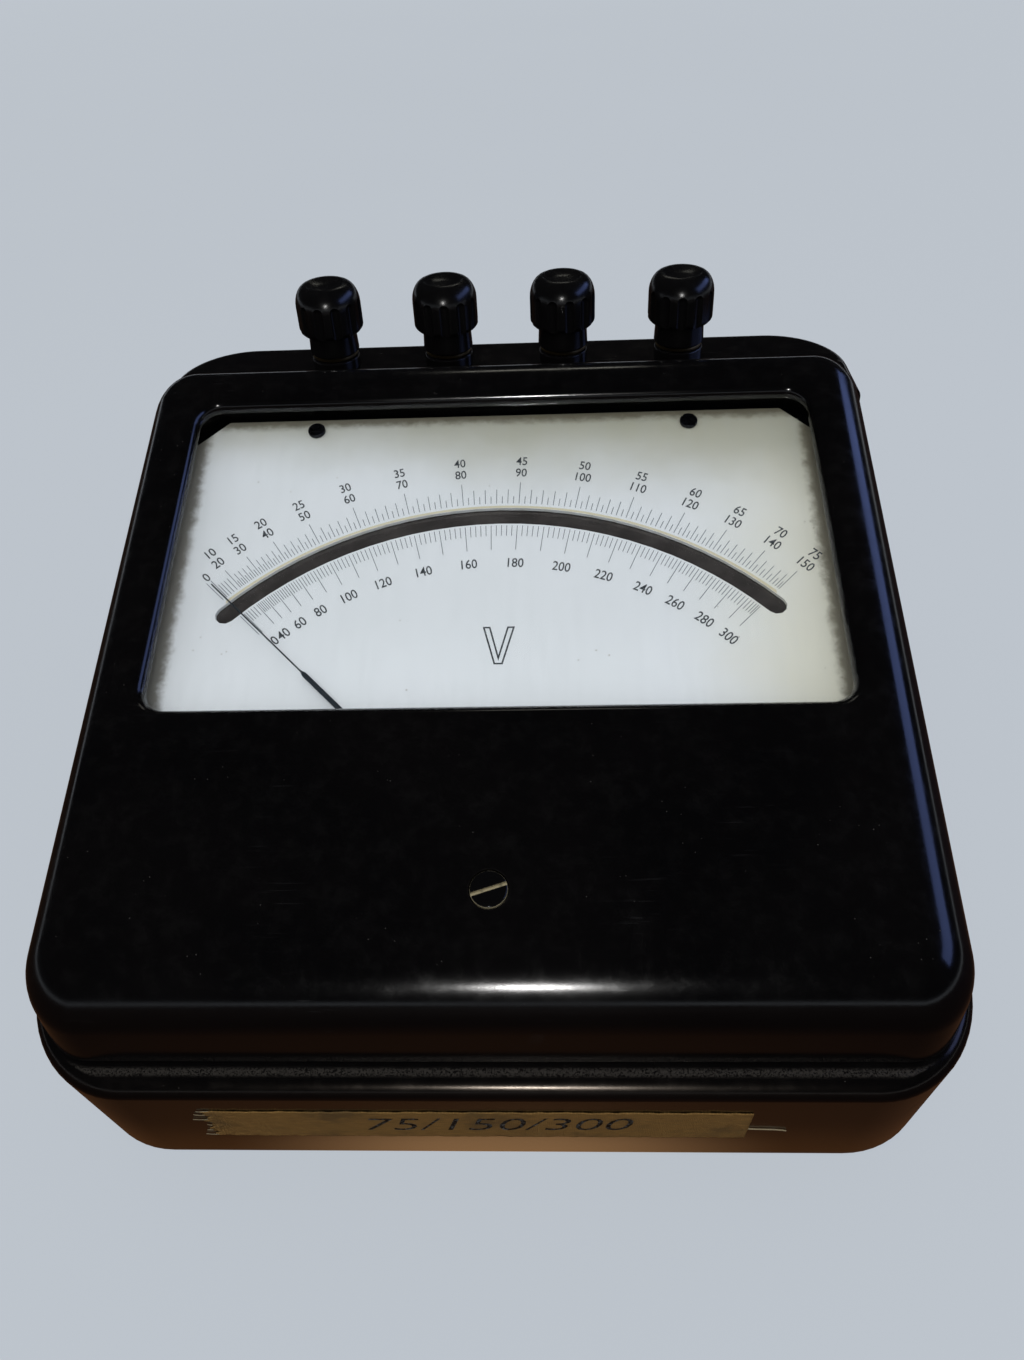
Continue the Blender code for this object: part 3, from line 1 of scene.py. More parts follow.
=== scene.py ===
"""Looks of the laboratory voltmeter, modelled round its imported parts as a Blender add-on.

Axes and units are the part's own: metres, X to the right, Y to the rear, Z up. The rim plane
slopes down to the front, and the dial frame lies in the dial's top face under the pointer.
"""
import math

import bmesh
import bpy
from bpy.props import FloatProperty, FloatVectorProperty, IntProperty, PointerProperty
from bpy.types import Operator, Panel, PropertyGroup
from mathutils import Matrix, Vector


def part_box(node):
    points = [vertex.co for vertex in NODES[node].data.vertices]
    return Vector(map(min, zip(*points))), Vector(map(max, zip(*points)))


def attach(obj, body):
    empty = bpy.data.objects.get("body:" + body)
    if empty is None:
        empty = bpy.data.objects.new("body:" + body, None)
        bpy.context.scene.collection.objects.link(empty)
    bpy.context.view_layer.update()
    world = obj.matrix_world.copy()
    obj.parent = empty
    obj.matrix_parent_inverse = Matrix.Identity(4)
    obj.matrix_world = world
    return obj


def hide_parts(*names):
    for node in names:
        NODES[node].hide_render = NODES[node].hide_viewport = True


bl_info = {
    "name": "Laboratory Voltmeter",
    "version": (1, 0, 0),
    "blender": (4, 5, 0),
    "location": "View3D > Sidebar > Voltmeter",
    "description": "Builds the case, dial, movement, terminals and label of a bench voltmeter",
    "category": "Mesh",
}

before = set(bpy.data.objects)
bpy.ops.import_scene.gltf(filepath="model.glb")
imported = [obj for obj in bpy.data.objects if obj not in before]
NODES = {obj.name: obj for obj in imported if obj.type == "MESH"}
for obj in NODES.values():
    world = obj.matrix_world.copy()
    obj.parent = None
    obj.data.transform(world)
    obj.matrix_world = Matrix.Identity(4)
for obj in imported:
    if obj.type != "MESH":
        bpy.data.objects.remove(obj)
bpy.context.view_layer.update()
BASE_LOW, BASE_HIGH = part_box("base_case")
COLLAR_LOW, COLLAR_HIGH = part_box("terminal_collar_1")
CAP_LOW, CAP_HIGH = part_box("terminal_cap_1")
WASHER_LOW, WASHER_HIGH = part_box("clamp_washer_1")

MERGE = 0.000001
GAP = 0.0003
OVERRUN = 0.003
SHARP_ANGLE = math.radians(32)
TURN_STEPS = 72
SCREW_STEPS = 40
FLAT_LIFT = 0.00002
FIGURE_SHARE = 0.73
PIVOT_RUN = 0.0461
DIAL_RISE = 0.0127
LEVEL = Matrix.Identity(4)
FLATTEN = Matrix.Diagonal((1, 1, 0, 1))


# Settings

def length(name, default, description, low=0.0):
    """A size in metres that a user may change."""
    return FloatProperty(name=name, default=default, description=description, min=low, soft_max=1.0,
                         precision=5, unit="LENGTH", subtype="DISTANCE")


def colour(name, default, description):
    """A colour that a user may change."""
    return FloatVectorProperty(name=name, default=default, description=description, size=3, min=0.0, max=1.0,
                               subtype="COLOR")


def power(name, default, description):
    """A lamp's power that a user may change."""
    return FloatProperty(name=name, default=default, description=description, min=0.0, unit="POWER")


class CaseSizes(PropertyGroup):
    """Sizes of the moulded base and cover."""
    width: length("Width", BASE_HIGH.x - BASE_LOW.x, "Width of the base over its sides")
    depth: length("Depth", BASE_HIGH.y - BASE_LOW.y, "Depth of the base from front to rear")
    slope: FloatProperty(name="Slope", default=math.radians(20), description="Slope of the deck",
                         unit="ROTATION", subtype="ANGLE", min=0.0, max=1.0)
    front_rise: length("Front Height", 0.042, "Height of the base's rim at its front")
    shelf_height: length("Shelf Height", BASE_HIGH.z, "Height of the terminal shelf")
    shelf_depth: length("Shelf Depth", 0.0415, "Depth of the terminal shelf")
    shoulder: length("Shoulder", 0.0036, "Round of the base's upper edge")
    cover_rise: length("Cover Height", 0.0227, "Height of the cover over the rim")
    side_setback: length("Side Setback", 0.0041, "Step from the base's side to the cover's side")
    front_setback: length("Front Setback", 0.0053, "Step from the base's front to the cover's front")
    cover_round: length("Cover Round", 0.013, "Round between the cover's top and its walls")
    cover_wall: length("Cover Wall", 0.004, "Wall thickness of the cover")
    groove: length("Groove", 0.0015, "Depth of the groove between base and cover")
    segments: IntProperty(name="Round Segments", default=14, description="Segments in each round corner",
                          min=3, max=48)


class WindowSizes(PropertyGroup):
    """Sizes of the window in the cover, from the pointer's pivot."""
    half_width: length("Half Width", 0.0829, "Half of the window's width")
    front: length("Front Edge", 0.0350, "Distance of the window's front edge from the pivot")
    rear: length("Rear Edge", 0.1293, "Distance of the window's rear edge from the pivot")
    corner: length("Corner", 0.006, "Corner round of the window")


class DialSizes(PropertyGroup):
    """Sizes of the printed scales."""
    upper_start: length("Upper Ticks", 0.0994, "Radius where the upper scale's ticks start")
    short_tick: length("Short Tick", 0.0024, "Length of the short ticks")
    middle_tick: length("Middle Tick", 0.0047, "Length of the middle ticks")
    long_tick: length("Long Tick", 0.0072, "Length of the numbered ticks")
    lower_start: length("Lower Ticks", 0.0921, "Radius where the lower scale's ticks start")
    lower_short: length("Lower Short Tick", 0.0034, "Length of the lower scale's short ticks")
    lower_long: length("Lower Long Tick", 0.0078, "Length of the lower scale's numbered ticks")
    line_width: length("Line Width", 0.00016, "Width of a printed tick")
    figure_height: length("Figure Height", 0.0029, "Height of the printed figures")


class TerminalSizes(PropertyGroup):
    """Sizes of the terminals on the shelf."""
    pitch: length("Pitch", 0.0352, "Distance from one terminal to the next")
    row: length("Row", (COLLAR_LOW.y + COLLAR_HIGH.y) / 2, "Place of the row from front to rear")
    cap_foot: length("Cap Foot", CAP_LOW.z, "Height of the caps' lower faces")
    cap_top: length("Cap Top", CAP_HIGH.z, "Height of the caps' tops")
    flutes: IntProperty(name="Flutes", default=12, description="Number of finger flutes round a cap", min=4,
                        max=36)
    flute_depth: length("Flute Depth", 0.00085, "Depth of a finger flute")


class LabelSizes(PropertyGroup):
    """Sizes of the cloth label on the front wall."""
    length: length("Length", 0.120, "Length of the cloth strip")
    height: length("Height", 0.0175, "Height of the cloth strip")
    offset: length("Offset", -0.0045, "Place of the strip's middle to the right", low=-1.0)
    rise: length("Rise", 0.0135, "Place of the strip's lower edge up the wall")
    thickness: length("Thickness", 0.00028, "Thickness of the cloth")


class Finishes(PropertyGroup):
    """Colours of the surfaces."""
    moulding: colour("Moulding", (0.0013, 0.0012, 0.0014), "Black moulded case")
    # Painted reflection: brown that the base's walls take on low down, standing in for a brown table
    # reflected in them.
    moulding_warm: colour("Painted Table Reflection", (0.062, 0.026, 0.0085), "Case low on its walls")
    terminal: colour("Terminal", (0.0018, 0.0017, 0.0019), "Black terminal mouldings")
    enamel: colour("Dial Enamel", (0.775, 0.815, 0.85), "Middle of the dial")
    # Painted light: the enamel is painted lighter towards the front of the dial.
    enamel_near: colour("Painted Light On Enamel", (0.865, 0.910, 0.950), "Dial towards the front, brightened by painted light")
    enamel_right: colour("Yellowed Enamel", (0.745, 0.735, 0.615), "Dial towards its right end")
    # Painted shade with some yellowing: the enamel is painted darker and creamier towards its far edge.
    enamel_aged: colour("Yellowed Far Enamel With Painted Shade", (0.46, 0.46, 0.375), "Dial towards its far edge")
    print_ink: colour("Printing Ink", (0.040, 0.047, 0.055), "Figures on the dial")
    tick_ink: colour("Tick Ink", (0.11, 0.135, 0.16), "Ticks on the dial")
    pointer: colour("Pointer", (0.018, 0.026, 0.034), "Pointer")
    cloth: colour("Cloth", (0.330, 0.192, 0.062), "Cloth strip")
    pen: colour("Pen", (0.016, 0.010, 0.006), "Handwritten figures on the cloth")
    brass: colour("Brass", (0.50, 0.36, 0.16), "Brass parts")
    plate: colour("Plated Steel", (0.50, 0.49, 0.45), "Plated steel parts")


class StageSettings(PropertyGroup):
    """Floor, lamps and background."""
    backdrop: colour("Backdrop", (0.515, 0.558, 0.610), "Floor and background")
    table: colour("Table", (0.094, 0.038, 0.013), "Colour that the floor throws back onto the object")
    # Painted light: a bright pool painted on the floor in front, seen only in gloss.
    glare: colour("Glare", (0.75, 0.42, 0.19), "Light patch on the floor in front, seen in gloss")
    ceiling: colour("Ceiling", (0.004, 0.0045, 0.006), "Dark room over the backdrop, seen in gloss")
    fill: FloatProperty(name="Fill", default=0.70, description="Strength of the even light", min=0.0, max=2.0)
    key: power("Key Lamp", 2.5, "Power of the low lamp in front")
    side: power("Side Lamp", 4.2, "Power of the long lamp at the right")
    rear: power("Rear Lamp", 0.15, "Power of the lamp behind")
    front: power("Front Lamp", 5.15, "Power of the soft lamp above the dial")
    floor_size: length("Floor Size", 6.0, "Side of the square floor")


def sizes(name):
    """One group of the scene's settings."""
    return getattr(bpy.context.scene, "voltmeter_" + name)


# Frames

def at(x=0.0, y=0.0, z=0.0):
    """A shift."""
    return Matrix.Translation((x, y, z))


def turned(angle, axis="Z"):
    """A turn about an axis through the origin."""
    return Matrix.Rotation(angle, 4, axis)


def rim_lay():
    """Lays a level ring on the sloping rim plane, with heights kept upright."""
    case = sizes("case")
    lean = math.tan(case.slope)
    lay = Matrix.Identity(4)
    lay[2][1] = lean
    lay[2][3] = case.front_rise + lean * case.depth / 2
    return lay


def cover_lay():
    """Lays a level ring on the plane of the cover's top."""
    case = sizes("case")
    return at(z=case.cover_rise / math.cos(case.slope)) @ rim_lay()


def dial_frame():
    """Frame in the dial's top face: origin under the pointer's axis, Y up the slope."""
    case = sizes("case")
    return at(0, -case.depth / 2, case.front_rise) @ turned(case.slope, "X") @ at(0, PIVOT_RUN, DIAL_RISE)


# Mesh helpers

def move(build, place, verts=None):
    """Carry a bmesh, or some of its vertices, to a place."""
    bmesh.ops.transform(build, matrix=place, verts=build.verts if verts is None else verts)


def clean(build):
    """Merge doubled vertices and turn every face outwards."""
    bmesh.ops.remove_doubles(build, verts=build.verts, dist=MERGE)
    bmesh.ops.recalc_face_normals(build, faces=build.faces)


def add_object(name, data):
    """Link an object that holds the data."""
    item = bpy.data.objects.new(name, data)
    bpy.context.collection.objects.link(item)
    return item


def to_object(name, build):
    """Turn a bmesh into an object."""
    mesh = bpy.data.meshes.new(name)
    build.to_mesh(mesh)
    build.free()
    return add_object(name, mesh)


def to_build(item, *helpers):
    """Turn an object as its modifiers leave it into a bmesh, and remove it and its helpers."""
    bpy.context.view_layer.update()
    mesh = bpy.data.meshes.new_from_object(item.evaluated_get(bpy.context.evaluated_depsgraph_get()))
    build = bmesh.new()
    build.from_mesh(mesh)
    bpy.data.meshes.remove(mesh)
    for used in (item, *helpers):
        bpy.data.objects.remove(used, do_unlink=True)
    return build


def add_piece(name, build, look, body, nodes=(), weighted=False):
    """Make a finished piece of a bmesh: merged, facing outwards, shaded, riding on its body."""
    clean(build)
    item = to_object(name, build)
    item.data.shade_smooth()
    item.data.set_sharp_from_angle(angle=SHARP_ANGLE)
    item.data.materials.append(finish(look))
    if weighted:
        item.modifiers.new("flat_faces", "WEIGHTED_NORMAL").keep_sharp = True
    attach(item, body)
    if nodes:
        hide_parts(*nodes)
    return item


def carve(build, tool, operation="DIFFERENCE"):
    """Cut one closed bmesh with another, or fuse them, and return the result."""
    pair = []
    for shape in (build, tool):
        clean(shape)
        pair.append(to_object("carving", shape))
    change = pair[0].modifiers.new("carving", "BOOLEAN")
    change.operation = operation
    change.solver = "EXACT"
    change.object = pair[1]
    return to_build(*pair)


def absorb(build, other, place=LEVEL):
    """Copy another bmesh into this one at a place."""
    mesh = bpy.data.meshes.new("part")
    other.to_mesh(mesh)
    mesh.transform(place)
    build.from_mesh(mesh)
    bpy.data.meshes.remove(mesh)


def round_corners(build, verts, radius, segments):
    """Bevel vertices of a flat outline into arcs."""
    if radius > MERGE:
        bmesh.ops.bevel(build, geom=verts, offset=radius, offset_type="OFFSET", segments=segments,
                        profile=0.5, affect="VERTICES", material=-1)


def rounded_ring(build, half, front, rear, radii, height, lay, segments, steps=None):
    """Add a loop of edges: a rectangle with rounded corners, laid on a plane.

    radii holds the front and the rear corners' radius. steps holds (front station, rear station,
    rear lay) where the ring steps up behind the stations.
    """
    ring = bmesh.new()
    corners = [ring.verts.new((x, y, height)) for x, y in
               ((-half, front), (half, front), (half, rear), (-half, rear))]
    ring.faces.new(corners)
    round_corners(ring, corners[:2], radii[0], segments)
    round_corners(ring, corners[2:], radii[1], segments)
    bmesh.ops.delete(ring, geom=ring.faces[:], context="FACES_ONLY")
    if steps:
        near, far, rear_lay = steps
        for station in (near, far):
            bmesh.ops.bisect_plane(ring, geom=ring.verts[:] + ring.edges[:], plane_co=(0, station, 0),
                                   plane_no=(0, 1, 0), dist=MERGE / 10)
        high = [vert for vert in ring.verts if vert.co.y > (near + far) / 2]
        low = [vert for vert in ring.verts if vert.co.y <= (near + far) / 2]
        move(ring, rear_lay, high)
        move(ring, lay, low)
    else:
        move(ring, lay)
    start = len(build.edges)
    absorb(build, ring)
    ring.free()
    build.edges.ensure_lookup_table()
    return build.edges[start:]


def bridge(build, loops):
    """Join neighbouring loops with faces."""
    for lower, upper in zip(loops, loops[1:]):
        bmesh.ops.bridge_loops(build, edges=lower + upper)


def cap_stepped_ring(build, loop, near, far):
    """Close a stepped ring with its sloping, upright and level faces."""
    face = bmesh.ops.edgeloop_fill(build, edges=loop)["faces"][0]
    for station in (far, near):
        ends = [vert for vert in face.verts if abs(vert.co.y - station) < MERGE]
        parts = bmesh.utils.face_split(face, ends[0], ends[1])
        halves = [part for part in (face, parts[0]) if part.is_valid]
        face = min(halves, key=lambda part: part.calc_center_median().y)


def quarter(radius, segments):
    """Insets and drops along a quarter round, from the wall up to the top."""
    turns = [math.pi / 2 * i / segments for i in range(segments + 1)]
    return [(radius * (1 - math.cos(turn)), radius * (1 - math.sin(turn))) for turn in turns]


def lathe(section, rounds=(), steps=TURN_STEPS, place=LEVEL, segments=3):
    """Turn a half section of (radius, height) corners about Z, each corner rounded where rounds says."""
    build = bmesh.new()
    corners = [build.verts.new((radius, 0, height)) for radius, height in section]
    build.faces.new(corners)
    for vert, radius in zip(corners, rounds):
        round_corners(build, [vert], radius, segments)
    bmesh.ops.delete(build, geom=build.faces[:], context="FACES_ONLY")
    axis = [edge for edge in build.edges if all(abs(vert.co.x) < MERGE for vert in edge.verts)]
    bmesh.ops.delete(build, geom=axis, context="EDGES")
    bmesh.ops.spin(build, geom=build.verts[:] + build.edges[:], cent=(0, 0, 0), axis=(0, 0, 1),
                   dvec=(0, 0, 0), angle=math.tau, steps=steps, use_merge=True)
    bmesh.ops.remove_doubles(build, verts=build.verts, dist=MERGE)
    move(build, place)
    return build


def rod(radius, low, high, place=LEVEL):
    """A round bar about Z."""
    build = bmesh.new()
    bmesh.ops.create_cone(build, cap_ends=True, segments=SCREW_STEPS, radius1=radius, radius2=radius,
                          depth=high - low, matrix=place @ at(z=(low + high) / 2))
    return build


def pillar(radius, foot, head, x, y):
    """A round bar at a plan place, from one plane to another."""
    bar = rod(radius, 0, 1, at(x, y))
    low = [vert for vert in bar.verts if vert.co.z < 0.5]
    high = [vert for vert in bar.verts if vert.co.z > 0.5]
    move(bar, FLATTEN)
    move(bar, foot, low)
    move(bar, head, high)
    return bar


def cut_slot(screw, reach, width, depth, top, turn):
    """Cut a driver's slot across a screw's head."""
    build = bmesh.new()
    shape = turned(turn) @ at(z=top) @ Matrix.Diagonal((reach * 2, width, depth * 2, 1))
    bmesh.ops.create_cube(build, size=1, matrix=shape)
    return carve(screw, build)


def slotted_screw(low, turn, place, radius, seat, head, height, slot, depth):
    """A cheese-head screw that points down, with its slot."""
    top = seat + height
    section = ((0, low), (radius, low), (radius, seat), (head, seat), (head, top), (0, top))
    screw = lathe(section, (0, radius / 3, 0, 0, height * 0.25, 0), SCREW_STEPS)
    screw = cut_slot(screw, head * 1.2, slot, depth, top, turn)
    move(screw, place)
    return screw


def flat_text(body, height, stretch=1.0, lean=0.0, weight=0.0):
    """Lettering in the XY plane, centred on its origin, as a thin closed bmesh."""
    curve = bpy.data.curves.new("lettering", "FONT")
    curve.body = body
    curve.size = height / FIGURE_SHARE
    curve.align_x = "CENTER"
    curve.align_y = "CENTER"
    curve.offset = weight
    curve.extrude = FLAT_LIFT / 2
    curve.shear = lean
    curve.resolution_u = 3
    build = to_build(add_object("lettering", curve))
    move(build, Matrix.Diagonal((stretch, 1, 1, 1)))
    return build


# Finishes

NOISES = {
    "wear": (900.0, 4.0, 0.55),
    "scratches": (70.0, 2.0, 0.55),
    "scratch_field": (28.0, 2.0, 0.55),
    "dust": (260.0, 5.0, 0.7),
    "speck_field": (90.0, 1.0, 0.55),
    "grain": (900.0, 4.0, 0.6),
    "broad_tone": (22.0, 3.0, 0.5),
    "cloth_fuzz": (900.0, 3.0, 0.55),
    "cloth_tone": (34.0, 5.0, 0.65),
    "cloth_stains": (60.0, 5.0, 0.65),
    "ragged_foot": (45.0, 4.0, 0.6),
    "grit": (2400.0, 3.0, 0.7),
    "ragged_wax": (2600.0, 3.0, 0.55),
    "wax": (900.0, 3.0, 0.55),
    "dial_drift": (16.0, 4.0, 0.6),
    "dial_streaks": (420.0, 4.0, 0.6),
    "dial_grime": (300.0, 5.0, 0.7),
    "dial_specks": (60.0, 1.0, 0.55),
    "film": (40.0, 4.0, 0.6),
    "thin_ink": (1500.0, 3.0, 0.55),
    "silvering": (120.0, 4.0, 0.65),
    "floor_tone": (3.0, 2.0, 0.55),
}
RANGES = {
    "wear": (0.35, 0.65),
    "scratches": (0.66, 0.72),
    "scratch_field": (0.50, 0.72),
    "dust": (0.42, 0.75),
    "speck_field": (0.60, 0.66),
    "broad_tone": (0.3, 0.7),
    "cloth_fuzz": (0.2, 0.8, 0.6, 1.0),
    "cloth_tone": (0.3, 0.7),
    "cloth_stains": (0.48, 0.70),
    "grit": (0.35, 0.6),
    "wax": (0.2, 0.5, 0.4, 1.0),
    "dial_streaks": (0.30, 0.75),
    "dial_specks": (0.55, 0.66),
    "film": (0.3, 0.7),
    "thin_ink": (0.45, 0.75),
    "silvering": (0.35, 0.7),
    "floor_tone": (0.3, 0.7),
}
BUMPS = {
    "moulding": (0.000012, 0.5),
    "adjuster": (0.000015, 0.5),
    "metal": (0.00002, 0.6),
    "plain": (0.00006, 0.8),
    "wound": (0.00008, 0.8),
    "enamel": (0.00001, 0.4),
    "cloth": (0.00012, 0.9),
}
ROUGH_SHARES = {"metal": (0.75, 1.35), "plain": (0.85, 1.1), "wound": (0.8, 1.2)}
GRAIN_RANGE = (0.25, 0.75)
MIDDLE_RANGE = (0.3, 0.7)
BROWN_CLOUD = (0.05, (0.013, 0.009, 0.008))
GREY_DUST = (0.012, (0.36, 0.34, 0.31))
PALE_SPECK = (0.10, (0.50, 0.48, 0.44))
SCRATCH = (0.03, (0.30, 0.29, 0.30))
WORN_EDGE = (0.03, (0.20, 0.17, 0.15))
GRIT = (0.10, (0.30, 0.28, 0.25))
BROWN_DUST = (0.25, (0.40, 0.37, 0.31))
BRUSHED = (0.10, (0.50, 0.54, 0.56))
GRIME = (0.8, (0.10, 0.085, 0.05))
DIAL_SPECK = (0.5, (0.20, 0.18, 0.13))
# Painted highlight: a cream line painted along the mirror slot's upper edge.
SLOT_PAINTED_HIGHLIGHT = (0.75, (0.60, 0.53, 0.30))
THIN_INK = (0.35, (0.38, 0.41, 0.42))
CLOTH_STAIN = (0.55, (0.070, 0.052, 0.030))
WAX = (0.40, 0.35, 0.22)
BLACK = (0.0, 0.0, 0.0)
WHITE = (1.0, 1.0, 1.0)


class Recipe:
    """The node tree of one material or group."""

    def __init__(self, tree):
        self.tree = tree

    def feed(self, node, links):
        """Link sockets to a node's inputs, or set the inputs to plain values."""
        for key, value in links.items():
            if isinstance(value, bpy.types.NodeSocket):
                self.tree.links.new(value, node.inputs[key])
            else:
                node.inputs[key].default_value = value
        return node

    def add(self, kind, links=None, **values):
        """Add a node with its properties and feed its inputs."""
        node = self.tree.nodes.new(kind)
        for key, value in values.items():
            setattr(node, key, value)
        return self.feed(node, links or {})

    def math(self, operation, first, second=0.0):
        """One step of arithmetic."""
        return self.add("ShaderNodeMath", {0: first, 1: second}, operation=operation).outputs[0]

    def times(self, first, *others):
        """The product of values."""
        for other in others:
            first = self.math("MULTIPLY", first, other)
        return first

    def plus(self, first, *others):
        """The sum of values."""
        for other in others:
            first = self.math("ADD", first, other)
        return first

    def minus(self, first, second):
        """One value less another."""
        return self.math("SUBTRACT", first, second)

    def size(self, value):
        """A value without its sign."""
        return self.math("ABSOLUTE", value)

    def spread(self, value, low, high, start=0.0, end=1.0):
        """Map a value smoothly from one range to another, held at its ends."""
        return self.add("ShaderNodeMapRange", {"Value": value, 1: low, 2: high, 3: start, 4: end},
                        interpolation_type="SMOOTHSTEP").outputs[0]

    def blend(self, factor, first, second):
        """Mix two colours."""
        links = {0: factor}
        for index, tone in ((6, first), (7, second)):
            links[index] = tone if isinstance(tone, bpy.types.NodeSocket) else (*tone, 1.0)
        return self.add("ShaderNodeMix", links, data_type="RGBA").outputs[2]

    def layers(self, base, rows):
        """Lay coats, each a strength and a tone, over a base colour through their masks."""
        for mask, (strength, tone) in rows:
            base = self.blend(self.times(mask, strength), base, tone)
        return base

    def noise(self, name, vector=None, scale=None):
        """A noise value over the object, by its name."""
        usual, detail, roughness = NOISES[name]
        return self.add("ShaderNodeTexNoise", {
            "Vector": self.place() if vector is None else vector, "Scale": usual if scale is None else scale,
            "Detail": detail, "Roughness": roughness}).outputs[0]

    def patches(self, name, vector=None, scale=None):
        """A noise spread over its own range."""
        return self.spread(self.noise(name, vector, scale), *RANGES[name])

    def specks(self, vector, scale, low, high):
        """Small dots scattered by cells."""
        cells = self.add("ShaderNodeTexVoronoi", {"Vector": vector, "Scale": scale}).outputs["Distance"]
        return self.spread(cells, low, high)

    def group(self, name, **links):
        """Place a shared effect and return what it puts out."""
        return self.feed(self.add("ShaderNodeGroup", node_tree=effect(name)), links).outputs

    def place(self):
        """Coordinates on the object."""
        return self.add("ShaderNodeTexCoord").outputs["Object"]

    def normal(self):
        """The way that the surface faces."""
        return self.add("ShaderNodeNewGeometry").outputs["Normal"]

    def parts(self, vector):
        """The three parts of a vector."""
        return list(self.add("ShaderNodeSeparateXYZ", {0: vector}).outputs)

    def length(self, vector):
        """The length of a vector."""
        return self.add("ShaderNodeVectorMath", {0: vector}, operation="LENGTH").outputs["Value"]

    def mapped(self, vector, **links):
        """A vector moved, turned or stretched."""
        links = {key.title(): value for key, value in links.items()}
        return self.add("ShaderNodeMapping", {"Vector": vector, **links}).outputs[0]

    def roughness(self, grain, rough, kind):
        """Roughness that the grain varies round its middle value."""
        low, high = ROUGH_SHARES[kind]
        return self.spread(grain, *GRAIN_RANGE, rough * low, rough * high)

    def dress(self, shader, tone, rough, height=None, kind=None):
        """Feed the shader's colour and roughness and, from a height, its normal."""
        self.feed(shader, {"Base Color": tone, "Roughness": rough})
        if height is not None:
            distance, strength = BUMPS[kind]
            node = self.add("ShaderNodeBump", {"Height": height, "Distance": distance, "Strength": strength})
            self.feed(shader, {"Normal": node.outputs[0]})


def effect(name):
    """A shared node group, built the first time that it is asked for."""
    found = bpy.data.node_groups.get(name)
    if found:
        return found
    tree = bpy.data.node_groups.new(name, "ShaderNodeTree")
    EFFECTS[name](tree)
    return tree


def sockets(tree, inputs, outputs):
    """Declare a group's values; returns its recipe, what it is given and its end node."""
    for label, default in inputs.items():
        socket = tree.interface.new_socket(name=label, in_out="INPUT", socket_type="NodeSocketFloat")
        socket.default_value = default
    for label in outputs:
        tree.interface.new_socket(name=label, in_out="OUTPUT", socket_type="NodeSocketFloat")
    return Recipe(tree), tree.nodes.new("NodeGroupInput").outputs, tree.nodes.new("NodeGroupOutput")


EDGE_MATCH = (0.99, 0.86)
SCRATCH_WAYS = ((0.35, 26.0), (-0.9, 34.0))
FACING_UP = (0.2, 0.95)
DUST_SPECKS = (620.0, 0.10, 0.04)


def edge_wear(tree):
    """Mask along the edges of a piece, broken up by noise."""
    recipe, given, end = sockets(tree, {"Width": 0.0004, "Breakup": 900.0}, ("Mask",))
    bevel = recipe.add("ShaderNodeBevel", {"Radius": given["Width"]}, samples=4).outputs[0]
    match = recipe.add("ShaderNodeVectorMath", {0: bevel, 1: recipe.normal()}, operation="DOT_PRODUCT")
    edge = recipe.spread(match.outputs["Value"], *EDGE_MATCH)
    recipe.feed(end, {"Mask": recipe.times(edge, recipe.patches("wear", scale=given["Breakup"]))})


def fine_scratches(tree):
    """Mask of short thin scratches in two directions."""
    recipe, given, end = sockets(tree, {"Density": 0.35, "Scale": 70.0}, ("Mask",))
    marks = []
    for turn, stretch in SCRATCH_WAYS:
        mapped = recipe.mapped(recipe.place(), rotation=(0.0, 0.0, turn), scale=(1.0, stretch, 1.0))
        marks.append(recipe.patches("scratches", mapped, given["Scale"]))
    field = recipe.patches("scratch_field")
    recipe.feed(end, {"Mask": recipe.times(recipe.math("MAXIMUM", *marks), field, given["Density"])})


def settled_dust(tree):
    """Mask of fine dust and specks on faces that look up."""
    recipe, given, end = sockets(tree, {"Amount": 0.5, "Scale": 260.0}, ("Mask", "Specks"))
    upward = recipe.spread(recipe.parts(recipe.normal())[2], *FACING_UP)
    clouds = recipe.patches("dust", scale=given["Scale"])
    specks = recipe.times(recipe.specks(recipe.place(), *DUST_SPECKS), recipe.patches("speck_field"), upward)
    recipe.feed(end, {"Mask": recipe.times(clouds, upward, given["Amount"]), "Specks": specks})


def surface_grain(tree):
    """Small height and tone changes of a moulded, plated or cast surface."""
    recipe, given, end = sockets(tree, {"Scale": 900.0}, ("Height", "Tone"))
    recipe.feed(end, {"Height": recipe.noise("grain", scale=given["Scale"]),
                      "Tone": recipe.patches("broad_tone")})


def cloth_weave(tree):
    """Plain weave over the piece's own UV map: threads' height and tone."""
    recipe, given, end = sockets(tree, {"Threads": 200.0, "Across": 40.0}, ("Height", "Tone"))
    uv = recipe.add("ShaderNodeTexCoord").outputs["UV"]
    waves = [recipe.math("SINE", recipe.times(part, given[count], math.pi))
             for part, count in zip(recipe.parts(uv), ("Threads", "Across"))]
    over = recipe.math("GREATER_THAN", recipe.times(*waves), 0.0)
    height = recipe.plus(recipe.times(recipe.size(waves[0]), over),
                         recipe.times(recipe.size(waves[1]), recipe.minus(1.0, over)))
    recipe.feed(end, {"Height": recipe.times(height, recipe.patches("cloth_fuzz", uv)),
                      "Tone": recipe.patches("cloth_tone", uv)})


EFFECTS = {
    "Edge Wear": edge_wear,
    "Fine Scratches": fine_scratches,
    "Settled Dust": settled_dust,
    "Surface Grain": surface_grain,
    "Cloth Weave": cloth_weave,
}


def new_finish(name, **constants):
    """A material with its Principled shader's plain values set; returns it, its recipe and the shader."""
    finish = bpy.data.materials.new(name)
    finish.use_nodes = True
    shader = finish.node_tree.nodes["Principled BSDF"]
    for key, value in constants.items():
        shader.inputs[key.replace("_", " ").title().replace("Ior", "IOR")].default_value = value
    return finish, Recipe(finish.node_tree), shader


def toned(tone, share):
    """A tone at a share of its strength."""
    return [min(1.0, part * share) for part in tone]


